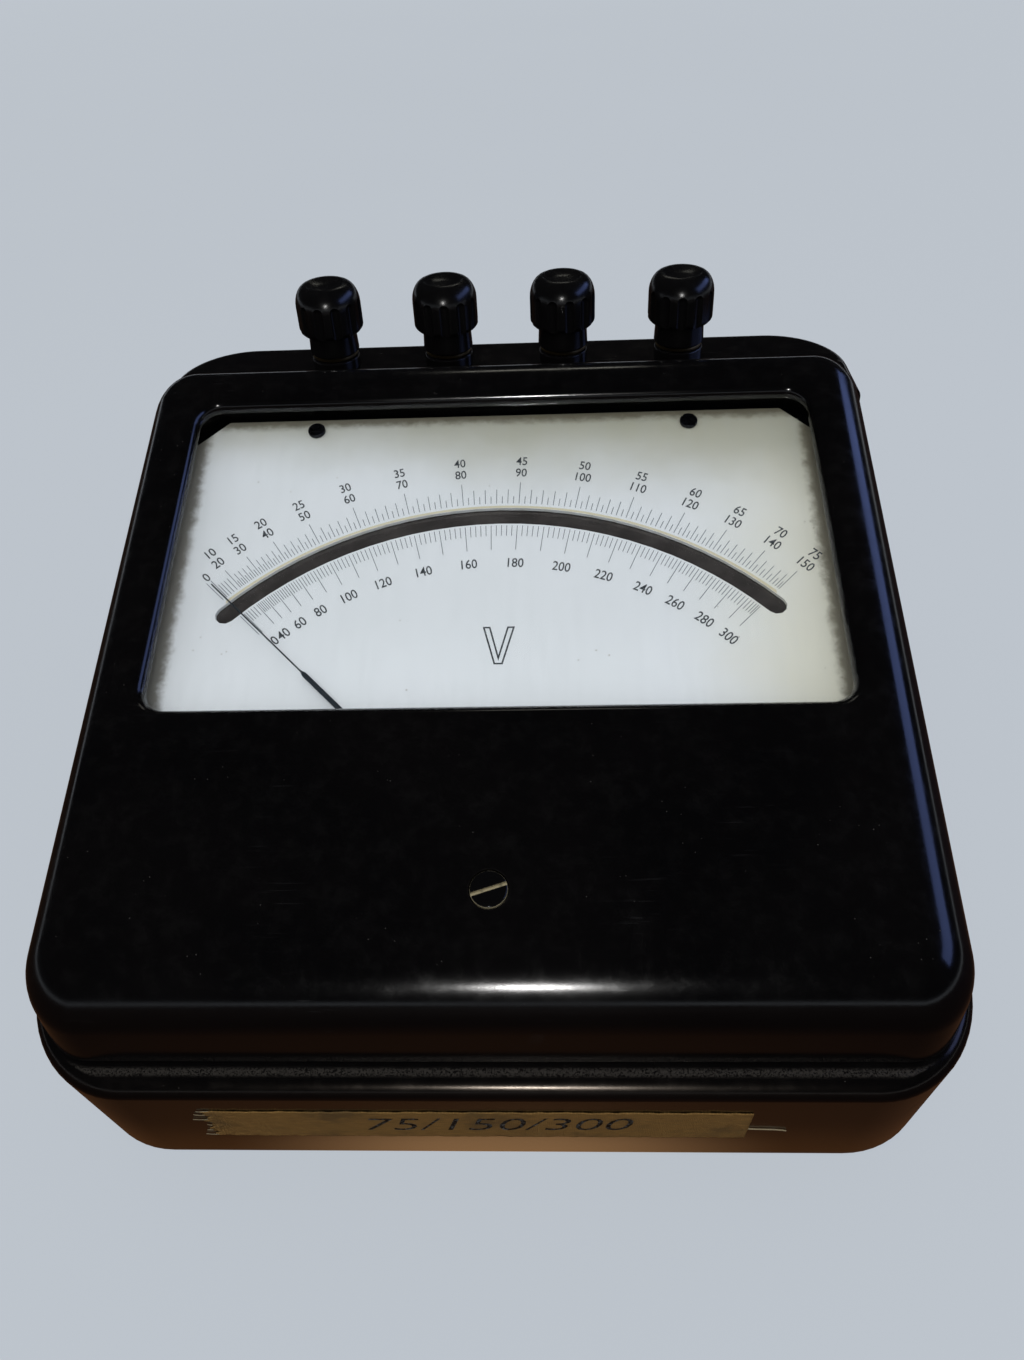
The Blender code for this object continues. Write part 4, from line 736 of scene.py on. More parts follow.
GRIT_LINE = 0.0014
GRIT_REACH = (0.0012, 0.0002)
GRIT_LEVEL = (0.00030, 0.00010)
GRIT_HEIGHT = 4.0
RAGGED_FOOT = 0.006
DUST_DULLING = 0.30
SCRATCH_DULLING = 0.25
TONE_DULLING = 0.05
GRIT_DULLING = 0.22


def ledge_mask(recipe):
    """Mask of a line of grit along the base's narrow ledge, outside the cover."""
    case = sizes("case")
    x, y, z = recipe.parts(recipe.place())
    aside = recipe.minus(recipe.size(x), case.width / 2 - case.side_setback - COVER_CORNER)
    ahead = recipe.minus(-case.depth / 2 + case.front_setback + COVER_CORNER, y)
    corner = recipe.add("ShaderNodeCombineXYZ", {0: recipe.math("MAXIMUM", aside, 0.0),
                                                 1: recipe.math("MAXIMUM", ahead, 0.0)})
    off = recipe.minus(recipe.length(corner.outputs[0]), COVER_CORNER + GRIT_LINE)
    over = recipe.minus(recipe.minus(z, recipe.times(y, math.tan(case.slope))), rim_height(0))
    return recipe.times(recipe.spread(recipe.size(off), *GRIT_REACH),
                        recipe.spread(recipe.size(over), *GRIT_LEVEL))


def moulding_finish(name, tone, warm, warm_top, polish, tint=WHITE, ledge=False):
    """Polished black moulding: dust, scratches, a painted reflection of a brown table low on its walls and,
    on the base, a gritty ledge.
    """
    finish, recipe, shader = new_finish(name, ior=1.5, specular_tint=(*tint, 1.0))
    grain = recipe.group("Surface Grain", Scale=1400.0)
    scratches = recipe.group("Fine Scratches", Density=0.5, Scale=60.0)["Mask"]
    dust = recipe.group("Settled Dust", Amount=0.30, Scale=210.0)
    wear = recipe.group("Edge Wear", Width=0.0006, Breakup=700.0)["Mask"]
    ragged = recipe.times(recipe.noise("ragged_foot"), RAGGED_FOOT)
    # Painted reflection: below warm_top the walls blend towards the brown of the table that they would
    # reflect; the cover and terminals pass their own tone, so nothing changes on them.
    low = recipe.spread(recipe.plus(recipe.parts(recipe.place())[2], ragged), warm_top, 0.0)
    coats = [(grain["Tone"], BROWN_CLOUD), (dust["Mask"], GREY_DUST), (dust["Specks"], PALE_SPECK),
             (scratches, SCRATCH), (wear, WORN_EDGE)]
    dulling = [(dust["Mask"], DUST_DULLING), (scratches, SCRATCH_DULLING), (grain["Tone"], TONE_DULLING)]
    relief = grain["Height"]
    if ledge:
        grit = recipe.times(ledge_mask(recipe), recipe.patches("grit"))
        coats.append((grit, GRIT))
        dulling.append((grit, GRIT_DULLING))
        relief = recipe.plus(relief, recipe.times(grit, GRIT_HEIGHT))
    base = recipe.layers(recipe.blend(low, tone, warm), coats)
    rough = recipe.plus(polish, *(recipe.times(mask, share) for mask, share in dulling))
    recipe.dress(shader, base, rough, relief, "moulding")
    return finish


WAX_RAGGED = 0.0003
WAX_DEPTH = 0.0003
WAX_ROUGH = (0.18, 0.85)


def adjuster_finish():
    """Black moulding with cream wax and dust left in the slot and round the head's side."""
    finish, recipe, shader = new_finish("adjuster_finish")
    ragged = recipe.times(recipe.noise("ragged_wax"), WAX_RAGGED)
    height = recipe.plus(recipe.parts(deck_coordinates(recipe))[2], ragged)
    dirt = recipe.times(recipe.spread(height, ADJUST_CROWN, ADJUST_CROWN - WAX_DEPTH), recipe.patches("wax"))
    grain = recipe.group("Surface Grain", Scale=1600.0)
    recipe.dress(shader, recipe.blend(dirt, sizes("finishes").terminal, WAX),
                 recipe.spread(dirt, 0.0, 1.0, *WAX_ROUGH), grain["Height"], "adjuster")
    return finish


def metal_finish(name, tone, rough, dark=0.55, metallic=1.0):
    """Turned, plated or cast metal with a patchy tone and worn edges."""
    finish, recipe, shader = new_finish(name, metallic=metallic)
    grain = recipe.group("Surface Grain", Scale=1600.0)
    wear = recipe.group("Edge Wear", Width=0.0003, Breakup=1200.0)["Mask"]
    base = recipe.blend(grain["Tone"], toned(tone, dark), tone)
    base = recipe.layers(base, [(wear, (0.5, toned(tone, 1.5)))])
    recipe.dress(shader, base, recipe.roughness(grain["Height"], rough, "metal"), grain["Height"], "metal")
    return finish


def plain_finish(name, tone, rough, mottle=0.6, scale=700.0):
    """Dull board, fibre, cement or thread with a mottled tone."""
    finish, recipe, shader = new_finish(name)
    grain = recipe.group("Surface Grain", Scale=scale)
    dust = recipe.group("Settled Dust", Amount=0.6, Scale=300.0)["Mask"]
    base = recipe.layers(recipe.blend(grain["Tone"], toned(tone, mottle), tone), [(dust, BROWN_DUST)])
    recipe.dress(shader, base, recipe.roughness(grain["Height"], rough, "plain"), grain["Height"], "plain")
    return finish


def wound_finish(name, tone, rough, wires, metallic=0.0):
    """Close turns of wire or braid, as fine ridges up the piece, with painted shade between the turns."""
    finish, recipe, shader = new_finish(name, metallic=metallic)
    grain = recipe.group("Surface Grain", Scale=900.0)
    ridge = recipe.size(recipe.math("SINE", recipe.times(recipe.parts(recipe.place())[2], wires)))
    # Painted shade: the grooves between the turns are painted darker.
    base = recipe.blend(ridge, toned(tone, 0.35), tone)
    base = recipe.layers(base, [(grain["Tone"], (0.4, toned(tone, 0.6)))])
    recipe.dress(shader, base, recipe.roughness(grain["Height"], rough, "wound"), ridge, "wound")
    return finish


def deck_coordinates(recipe):
    """Coordinates in the dial frame: X to the right, Y up the slope from the pivot, Z over the dial."""
    place = recipe.mapped(recipe.place(), location=-dial_frame().to_translation())
    return recipe.mapped(place, rotation=(-sizes("case").slope, 0.0, 0.0))


def window_edge(recipe, x, y):
    """Distance from the nearest of the window's sides, front and rear."""
    window = sizes("window")
    side = recipe.minus(window.half_width, recipe.size(x))
    ends = recipe.math("MINIMUM", recipe.minus(y, window.front), recipe.minus(window.rear, y))
    return recipe.math("MINIMUM", side, ends)


DIAL_DRIFT = 0.030
DIAL_RIGHT = (0.040, 0.088)
DIAL_PAINTED_LIGHT = (0.068, 0.036)
DIAL_FAR = (0.098, 0.131)
DIAL_LEAN = 0.14
DIAL_ROUGH = (0.42, 0.55)
DIAL_SPECKS = (330.0, 0.11, 0.05)
STREAK_STRETCH = (1.0, 0.12, 1.0)
GRIME_REACH = (0.0006, -0.0028)
GRIME_DRIFT = -0.0045
# Place and width of the painted highlight line along the slot's upper edge.
SLOT_RIM = 0.0983
SLOT_RIM_HALF = 0.0695
SLOT_RIM_LINE = (0.0005, 0.0002)


def enamel_finish():
    """Dial enamel: cool white in the middle, creamy towards the edges, with grime along them, painted light
    towards the front, painted shade towards the far edge and a painted highlight along the slot.
    """
    tones = sizes("finishes")
    finish, recipe, shader = new_finish("dial_enamel_finish")
    place = deck_coordinates(recipe)
    x, y = recipe.parts(place)[:2]
    drift = recipe.times(recipe.minus(recipe.noise("dial_drift", place), 0.5), DIAL_DRIFT)
    # Painted light: a lighter enamel towards the front stands in for light falling there.
    near = recipe.spread(recipe.plus(y, drift), *DIAL_PAINTED_LIGHT)
    right = recipe.spread(recipe.plus(x, drift), *DIAL_RIGHT)
    # Painted shade, partly yellowing: the far edge is painted darker, where the cover lip shades it, and
    # creamier.
    far = recipe.spread(recipe.plus(y, recipe.times(x, DIAL_LEAN), drift), *DIAL_FAR)
    base = tones.enamel
    for mask, tone in ((near, tones.enamel_near), (right, tones.enamel_right), (far, tones.enamel_aged)):
        base = recipe.blend(mask, base, tone)
    streaks = recipe.noise("dial_streaks", recipe.mapped(place, scale=STREAK_STRETCH))
    ragged = recipe.times(recipe.noise("dial_grime", place), GRIME_DRIFT)
    grime = recipe.spread(recipe.plus(window_edge(recipe, x, y), ragged), *GRIME_REACH)
    specks = recipe.times(recipe.specks(place, *DIAL_SPECKS), recipe.patches("dial_specks", place))
    # Painted highlight: a thin cream band along the slot's upper edge, standing in for the lit far wall seen
    # there.
    rim = recipe.spread(recipe.size(recipe.minus(recipe.length(place), SLOT_RIM)), *SLOT_RIM_LINE)
    rim = recipe.times(rim, recipe.math("LESS_THAN", recipe.size(x), SLOT_RIM_HALF))
    brushed = recipe.spread(streaks, *RANGES["dial_streaks"])
    base = recipe.layers(base, ((brushed, BRUSHED), (grime, GRIME), (specks, DIAL_SPECK), (rim, SLOT_PAINTED_HIGHLIGHT)))
    recipe.dress(shader, base, recipe.spread(streaks, *MIDDLE_RANGE, *DIAL_ROUGH), streaks, "enamel")
    return finish


GLASS_TONES = ((0.975, 0.985, 0.985), (0.96, 0.975, 0.97))
GLASS_SMEAR = (0.45, 0.8, 0.0, 0.02)


def glass_finish():
    """Clear window glass with a faint film, which light passes freely onto the dial."""
    finish, recipe, shader = new_finish("window_glass_finish", transmission_weight=1.0, ior=1.47)
    film = recipe.noise("film")
    path = recipe.add("ShaderNodeLightPath").outputs
    lighting = recipe.math("MAXIMUM", path["Is Shadow Ray"], path["Is Diffuse Ray"])
    tint = recipe.blend(recipe.spread(film, *RANGES["film"]), *GLASS_TONES)
    recipe.dress(shader, tint, recipe.spread(film, *GLASS_SMEAR))
    recipe.feed(shader, {"Alpha": recipe.minus(1.0, lighting)})
    return finish


def ink_finish(name, tone, gloss=0.3):
    """Printing ink, thin in places."""
    finish, recipe, shader = new_finish(name, specular_ior_level=gloss)
    worn = recipe.patches("thin_ink")
    recipe.dress(shader, recipe.layers(tone, [(worn, THIN_INK)]), recipe.spread(worn, 0.0, 1.0, 0.45, 0.6))
    return finish


MIRROR_TONES = ((0.075, 0.068, 0.066), (0.115, 0.105, 0.10))
MIRROR_ROUGH = (0.10, 0.22)


def mirror_finish():
    """Old scale mirror, darkened, with faint clouds in the silvering."""
    finish, recipe, shader = new_finish("scale_mirror_finish", metallic=0.55)
    clouds = recipe.noise("silvering")
    tone = recipe.blend(recipe.spread(clouds, *RANGES["silvering"]), *MIRROR_TONES)
    recipe.dress(shader, tone, recipe.spread(clouds, *MIDDLE_RANGE, *MIRROR_ROUGH))
    return finish


CLOTH_ROUGH = (0.75, 0.95)
CLOTH_HOLLOW = (0.0, 0.7, 1.0, 0.0)


def cloth_finish(name, tone, threads, across):
    """Woven cotton strip, soiled, with painted shade between its threads."""
    finish, recipe, shader = new_finish(name, specular_ior_level=0.1)
    weave = recipe.group("Cloth Weave", Threads=threads, Across=across)
    # Painted shade: the hollows between the threads are painted darker.
    hollow = recipe.spread(weave["Height"], *CLOTH_HOLLOW)
    base = recipe.layers(recipe.blend(weave["Tone"], toned(tone, 0.62), tone),
                         ((hollow, (0.55, toned(tone, 0.35))), (recipe.patches("cloth_stains"), CLOTH_STAIN)))
    rough = recipe.spread(weave["Tone"], 0.0, 1.0, *CLOTH_ROUGH)
    recipe.dress(shader, base, rough, weave["Height"], "cloth")
    return finish


FLOOR_EVEN = 0.88
FLOOR_ROUGH = (0.85, 0.95)
FLOOR_GRAIN = 0.02
EVEN_RANGE = (0.6, 2.6)
TABLE_RANGE = (0.10, 0.22)
TABLE_EDGE = (2.9, 2.2)
TABLE_FAR = 0.22
# Place, stretch and reach of the painted pool of light on the floor.
GLARE_PLACE = (0.0, 0.1035, 0.0)
GLARE_STRETCH = (0.12, 1.0, 1.0)
GLARE_RANGE = (0.0085, 0.0010)


def floor_finish(tone, table, glare):
    """Pale floor that shows its colour evenly, keeps the shadow and throws a warm colour back up close, with
    a painted pool of light in front that shows in gloss.
    """
    finish, recipe, shader = new_finish("floor_finish", emission_strength=1.0)
    shown = seen_ray(recipe)
    place = recipe.place()
    distance = recipe.length(place)
    middle = recipe.length(recipe.mapped(place, location=GLARE_PLACE, scale=GLARE_STRETCH))
    grain = recipe.patches("floor_tone")
    plain = recipe.layers(tone, [(grain, (FLOOR_GRAIN, toned(tone, 0.97)))])
    warm = recipe.blend(recipe.spread(distance, *TABLE_RANGE), table, toned(table, TABLE_FAR))
    # Painted light: a bright pool painted into the colour that gloss sees in front of the object.
    warm = recipe.blend(recipe.spread(middle, *GLARE_RANGE), warm, glare)
    gloss = recipe.add("ShaderNodeLightPath").outputs["Is Glossy Ray"]
    seen = recipe.blend(recipe.times(gloss, recipe.spread(distance, *TABLE_EDGE)), plain, warm)
    even = recipe.spread(distance, *EVEN_RANGE, FLOOR_EVEN, 1.0)
    base = recipe.blend(shown, table, recipe.blend(even, seen, BLACK))
    recipe.dress(shader, base, recipe.spread(grain, 0.0, 1.0, *FLOOR_ROUGH))
    recipe.feed(shader, {"Emission Color": recipe.blend(recipe.times(shown, even), BLACK, seen)})
    return finish


BROWN_GLOSS = (1.0, 0.85, 0.72)


def make_finish(name):
    """Build one finish by its name."""
    tones = sizes("finishes")
    moulding, terminal = tones.moulding, tones.terminal
    makers = {
        # The base's walls turn browner low down, a painted reflection of the brown table.
        "moulding": lambda: moulding_finish("black_moulding", moulding, tones.moulding_warm, 0.030, 0.14,
                                            BROWN_GLOSS, True),
        "cover": lambda: moulding_finish("cover_moulding", moulding, moulding, 0.010, 0.105),
        "terminal": lambda: moulding_finish("terminal_moulding_finish", terminal, terminal, 0.010, 0.20),
        "adjuster": adjuster_finish,
        "glass": glass_finish,
        "enamel": enamel_finish,
        "figures": lambda: ink_finish("figure_ink", tones.print_ink),
        "ticks": lambda: ink_finish("tick_ink", tones.tick_ink),
        "mirror": mirror_finish,
        "pointer": lambda: metal_finish("pointer_lacquer", tones.pointer, 0.35, 0.8, 0.0),
        "blued": lambda: metal_finish("blued_steel_finish", (0.045, 0.047, 0.055), 0.30, 0.6),
        "plated": lambda: metal_finish("plated_steel_finish", tones.plate, 0.34),
        "brass": lambda: metal_finish("brass_finish", tones.brass, 0.30),
        "tarnished": lambda: metal_finish("tarnished_brass_finish", toned(tones.brass, 0.45), 0.36),
        "aluminium": lambda: metal_finish("aluminium_finish", (0.66, 0.67, 0.68), 0.36, 0.8),
        "iron": lambda: metal_finish("soft_iron_finish", (0.20, 0.19, 0.185), 0.45),
        "fibre": lambda: plain_finish("red_fibre_finish", (0.22, 0.055, 0.035), 0.6),
        "board": lambda: plain_finish("laminate_finish", (0.24, 0.13, 0.055), 0.5),
        "cement": lambda: plain_finish("cement_finish", (0.42, 0.37, 0.27), 0.8),
        "copper": lambda: wound_finish("enamelled_copper_finish", (0.34, 0.12, 0.05), 0.35, 9000.0, 0.8),
        "resistance": lambda: wound_finish("resistance_winding_finish", (0.30, 0.20, 0.10), 0.5, 7000.0, 0.3),
        "cotton": lambda: wound_finish("cotton_sleeve_finish", (0.26, 0.19, 0.09), 0.9, 5200.0),
        "cloth": lambda: cloth_finish("cloth_strip_finish", tones.cloth, 300.0, 52.0),
        "thread": lambda: plain_finish("loose_thread_finish", (0.30, 0.25, 0.15), 0.9),
        "pen": lambda: ink_finish("pen_ink", tones.pen, 0.0),
    }
    return makers[name]()


FINISH_CACHE = {}


def finish(name):
    """One finish, made once."""
    if name not in FINISH_CACHE:
        FINISH_CACHE[name] = make_finish(name)
    return FINISH_CACHE[name]


def dress_nodes(names, look):
    """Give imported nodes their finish."""
    for name in names:
        slots = NODES[name].data.materials
        slots.clear()
        slots.append(finish(look))


# Case

BASE_WALL = 0.0045
BASE_FLOOR = 0.004
FRONT_DRAFT = 0.0072
SIDE_DRAFT = 0.0006
REAR_DRAFT = 0.003
BASE_CORNER = 0.023
FOOT_EDGE = 0.0012
FOOT_STEPS = 3
HOLLOW_STEPS = 6
POCKET_STEPS = 4
RIM_LEDGE = 0.006
RISER_DRAFT = 0.0006
COLUMN_RADIUS = 0.005
SCREW_INSET = (0.012, 0.0127, 0.0107)
SCREW_WAY = 0.0021
HEAD_WAY = 0.0038
HEAD_WAY_DEPTH = 0.0034
SPIGOT_WAY = 0.0043
BOARD_SCREWS = ((-0.056, 0.060), (0.056, 0.060))
BOARD_SCREW_WAY = 0.0017
BOARD_SCREW_FOOT = 0.0015
COVER_CORNER = 0.013
COVER_GAP = 0.001
COVER_EDGE = 0.0003
COVER_EDGE_SHARE = 0.3
COVER_HOLLOW_STEPS = 5
LEAST_CORNER = 0.0004
GROOVE_HEIGHT = 0.001
BOSS_RADIUS = 0.004
BOSS_SEAT = 0.0021
BOSS_TOP_DROP = 0.003
BOSS_WAY_DEPTH = 0.0123
ADJUST_WAY_STEPS = 64
CASE_SCREWS = ("case_screw_front_left", "case_screw_front_right", "case_screw_rear_left",
               "case_screw_rear_right")
CASE_SCREW_REACH = 0.012
CASE_SCREW_TURNS = (0.6, 1.7, 2.8, 3.9)
CASE_SCREW = {"radius": 0.0018, "seat": -0.0031, "head": 0.0035, "height": 0.0022, "slot": 0.0009,
              "depth": 0.0011}


def cover_rear():
    """Place of the cover's rear wall."""
    case = sizes("case")
    return case.depth / 2 - case.shelf_depth - COVER_GAP


def rim_height(y):
    """Height of the rim plane over the table."""
    return (rim_lay() @ Vector((0, y, 0))).z


def screw_places():
    """Plan places of the four case screws."""
    case = sizes("case")
    x = case.width / 2 - case.side_setback - SCREW_INSET[0]
    front = -case.depth / 2 + case.front_setback + SCREW_INSET[1]
    return [(side * x, y) for y in (front, cover_rear() - SCREW_INSET[2]) for side in (-1, 1)]


def terminal_places():
    """Plan places of the terminals, left to right."""
    posts = sizes("terminals")
    return [(posts.pitch * (i - 1.5), posts.row) for i in range(4)]


class VOLTMETER_OT_base(Operator):
    """Moulded base: drafted walls, rounded shoulder, terminal shelf, hollow inside"""
    bl_idname = "voltmeter.base"
    bl_label = "Base"

    def execute(self, context):
        case = sizes("case")
        half, front, rear = case.width / 2, -case.depth / 2, case.depth / 2
        near = rear - case.shelf_depth
        build = bmesh.new()
        loops = []
        for inset, drop in quarter(FOOT_EDGE, FOOT_STEPS):
            loops.insert(0, rounded_ring(
                build, half - SIDE_DRAFT - inset, front + FRONT_DRAFT + inset, rear - REAR_DRAFT - inset,
                [BASE_CORNER - inset] * 2, drop, LEVEL, case.segments, (near, near + RISER_DRAFT, LEVEL)))
        for inset, drop in quarter(case.shoulder, case.segments):
            loops.append(rounded_ring(
                build, half - inset, front + inset, rear - inset, [BASE_CORNER - inset] * 2, -drop, rim_lay(),
                case.segments, (near, near + RISER_DRAFT, at(z=case.shelf_height))))
        bridge(build, loops)
        bmesh.ops.edgeloop_fill(build, edges=loops[0])
        cap_stepped_ring(build, loops[-1], near, near + RISER_DRAFT)
        build = carve(build, self.cavity(case))
        build = carve(build, self.pocket(case))
        columns, ways = bmesh.new(), bmesh.new()
        for x, y in screw_places():
            absorb(columns, pillar(COLUMN_RADIUS, at(z=BASE_FLOOR / 2), rim_lay(), x, y))
            high = rim_height(y) + OVERRUN
            section = ((0, -OVERRUN), (HEAD_WAY, -OVERRUN), (HEAD_WAY, HEAD_WAY_DEPTH),
                       (SCREW_WAY, HEAD_WAY_DEPTH), (SCREW_WAY, high), (0, high))
            absorb(ways, lathe(section, steps=SCREW_STEPS), at(x, y))
        build = carve(build, columns, "UNION")
        under = case.shelf_height - BASE_WALL - OVERRUN
        for x, y in terminal_places():
            absorb(ways, rod(SPIGOT_WAY, under, case.shelf_height + OVERRUN, at(x, y)))
        for x, y in BOARD_SCREWS:
            absorb(ways, rod(BOARD_SCREW_WAY, BOARD_SCREW_FOOT, BASE_FLOOR + OVERRUN, at(x, y)))
        build = carve(build, ways)
        add_piece("base_shell", build, "moulding", "case", ("base_case",), weighted=True)
        return {"FINISHED"}

    def ceiling(self, case):
        """Height of the cavity's level part."""
        return rim_height(cover_rear() - case.cover_wall) - RIM_LEDGE

    def cavity(self, case):
        """Inside of the base, as a solid to cut with."""
        edge = cover_rear() - case.cover_wall
        near = edge - RISER_DRAFT
        corners = [BASE_CORNER - BASE_WALL] * 2
        half, front, rear = case.width / 2, -case.depth / 2, case.depth / 2
        mouth = (half - case.side_setback - case.cover_wall, front + case.front_setback + case.cover_wall,
                 rear - BASE_WALL - case.shoulder)
        low = (half - SIDE_DRAFT - BASE_WALL, front + FRONT_DRAFT + BASE_WALL, rear - REAR_DRAFT - BASE_WALL)
        under = (half - BASE_WALL, front + BASE_WALL, rear - BASE_WALL)
        build = bmesh.new()
        loops = [rounded_ring(build, *low, corners, BASE_FLOOR, LEVEL, HOLLOW_STEPS, (near, edge, LEVEL))]
        rows = ((under, -RIM_LEDGE, 0), (mouth, -RIM_LEDGE, 0), (mouth, OVERRUN, RIM_LEDGE))
        for sides, rise, shut in rows:
            steps = (near, edge, at(z=self.ceiling(case) + shut - rise - RIM_LEDGE))
            loops.append(rounded_ring(build, *sides, corners, rise, rim_lay(), HOLLOW_STEPS, steps))
        bridge(build, loops)
        bmesh.ops.edgeloop_fill(build, edges=loops[0])
        cap_stepped_ring(build, loops[-1], near, edge)
        return build

    def pocket(self, case):
        """Hollow under the terminal shelf, as a solid to cut with."""
        build = bmesh.new()
        half = case.width / 2 - case.side_setback - case.cover_wall
        front = case.depth / 2 - case.shelf_depth + BASE_WALL
        rear = case.depth / 2 - BASE_WALL - case.shoulder - RISER_DRAFT
        radii = (BASE_WALL, BASE_CORNER / 2)
        ends = [rounded_ring(build, half, front, rear, radii, height, LEVEL, POCKET_STEPS)
                for height in (self.ceiling(case) - OVERRUN, case.shelf_height - BASE_WALL)]
        bridge(build, ends)
        for loop in ends:
            bmesh.ops.edgeloop_fill(build, edges=loop)
        return build


class VOLTMETER_OT_cover(Operator):
    """Moulded cover: rounded top, window opening, groove at its foot, four screw bosses"""
    bl_idname = "voltmeter.cover"
    bl_label = "Cover"

    def execute(self, context):
        case, window = sizes("case"), sizes("window")
        skin = case.cover_wall * math.cos(case.slope)
        top = case.cover_rise - DIAL_RISE
        build = bmesh.new()

        def plan(inset, height, lay):
            corner = max(COVER_CORNER - inset, LEAST_CORNER)
            half = case.width / 2 - case.side_setback - inset
            front = -case.depth / 2 + case.front_setback + inset
            return rounded_ring(build, half, front, cover_rear() - inset, (corner, corner), height, lay,
                                case.segments)

        def lip(inset, drop):
            corner = window.corner + inset
            return rounded_ring(build, window.half_width + inset, window.front - inset, window.rear + inset,
                                (corner, corner), top - skin + drop, dial_frame(), case.segments)

        share = COVER_EDGE * COVER_EDGE_SHARE
        feet = ((case.cover_wall, GAP), (case.groove, GAP), (case.groove, GROOVE_HEIGHT),
                (COVER_EDGE, GROOVE_HEIGHT), (share, GROOVE_HEIGHT + share), (0, GROOVE_HEIGHT + COVER_EDGE))
        loops = [plan(inset, height, rim_lay()) for inset, height in feet]
        loops += [plan(inset, -drop, cover_lay()) for inset, drop in quarter(case.cover_round, case.segments)]
        turns = [math.pi / 2 * i / case.segments for i in range(case.segments + 1)]
        lips = [lip(skin * (1 - math.sin(turn)), skin * math.cos(turn)) for turn in turns]
        inner_round = quarter(case.cover_round - case.cover_wall, COVER_HOLLOW_STEPS)
        hollow = [plan(case.cover_wall + inset, -drop - case.cover_wall, cover_lay())
                  for inset, drop in reversed(inner_round)]
        for rings in (loops[1:3], loops[3:], lips, hollow + loops[:1]):
            bridge(build, rings)
        for outer, inner in ((loops[-1], lips[0]), (hollow[0], lips[-1]), loops[:2], loops[2:4]):
            bmesh.ops.triangle_fill(build, use_beauty=True, use_dissolve=False, edges=outer + inner)
        bosses, ways = bmesh.new(), bmesh.new()
        foot = at(z=BOSS_SEAT / math.cos(case.slope)) @ rim_lay()
        for x, y in screw_places():
            absorb(bosses, pillar(BOSS_RADIUS, foot, at(z=-BOSS_TOP_DROP) @ cover_lay(), x, y))
            rim = rim_height(y)
            absorb(ways, rod(SCREW_WAY, rim - OVERRUN, rim + BOSS_WAY_DEPTH, at(x, y)))
        build = carve(build, bosses, "UNION")
        build = carve(build, ways)
        low, seat, high = top - skin - OVERRUN, top - ADJUST_RECESS, top + OVERRUN
        shank, head = ADJUST_SHANK + GAP, ADJUST_HEAD + GAP
        section = ((0, low), (shank, low), (shank, seat), (head, seat), (head, high), (0, high))
        build = carve(build, lathe(section, steps=ADJUST_WAY_STEPS, place=adjuster_place()))
        add_piece("cover_shell", build, "cover", "case", ("cover",), weighted=True)
        return {"FINISHED"}


class VOLTMETER_OT_case_screws(Operator):
    """Four long slotted screws from the underside into the cover"""
    bl_idname = "voltmeter.case_screws"
    bl_label = "Case Screws"

    def execute(self, context):
        for name, turn, (x, y) in zip(CASE_SCREWS, CASE_SCREW_TURNS, screw_places()):
            tip = -rim_height(y) - CASE_SCREW_REACH
            screw = slotted_screw(tip, turn, at(x, y) @ turned(math.pi, "X"), **CASE_SCREW)
            add_piece(name + "_slotted", screw, "plated", "case", (name,))
        return {"FINISHED"}


# Dial

SCALE_LAW = (-45.0, -44.3, -41.85, -38.3, -34.0, -28.35, -21.65, -14.0, -5.6, 2.95, 11.6, 19.5, 27.1, 33.5,
             39.6, 44.9)
UPPER_ROWS = (0.1138, 0.1098)
LOWER_ROW = 0.0800
ZERO_ROW = 0.1081
ZERO_ANGLES = (-44.4, -43.8)
FIGURE_STRETCH = 0.80
FIGURE_WEIGHT = 0.00003
LETTER_PLACE = (0.0004, 0.0553)
LETTER_HALF = 0.0040
LETTER_STROKE = 0.0019
LETTER_TOP = 0.0054
LETTER_CROTCH = -0.0028
LETTER_FOOT = 0.0011
LETTER_LOW = -0.0054
LETTER_LINE = 0.00042
DIAL_SCREW_PLACE = (0.0517, 0.1262)
DIAL_SCREW_LOW = -0.0065
DIAL_SCREW = {"radius": 0.00125, "seat": GAP, "head": 0.0024, "height": 0.0009, "slot": 0.0006,
              "depth": 0.0005}


def scale_angle(value):
    """Angle on the dial of a value from 0 to 150, clockwise from straight up."""
    place = min(max(value / 10, 0), len(SCALE_LAW) - 1 - MERGE)
    index = int(place)
    share = place - index
    points = [SCALE_LAW[min(max(index + step, 0), len(SCALE_LAW) - 1)] for step in (-1, 0, 1, 2)]
    slope_in, slope_out = (points[2] - points[0]) / 2, (points[3] - points[1]) / 2
    rise = points[2] - points[1]
    angle = points[1] + share * (slope_in + share * (3 * rise - 2 * slope_in - slope_out
                                                     + share * (slope_in + slope_out - 2 * rise)))
    return math.radians(angle)


def on_dial(radius, angle):
    """Place on the dial at a radius and a clockwise angle."""
    spot = at(radius * math.sin(angle), radius * math.cos(angle), FLAT_LIFT * 2)
    return dial_frame() @ spot @ turned(-angle)


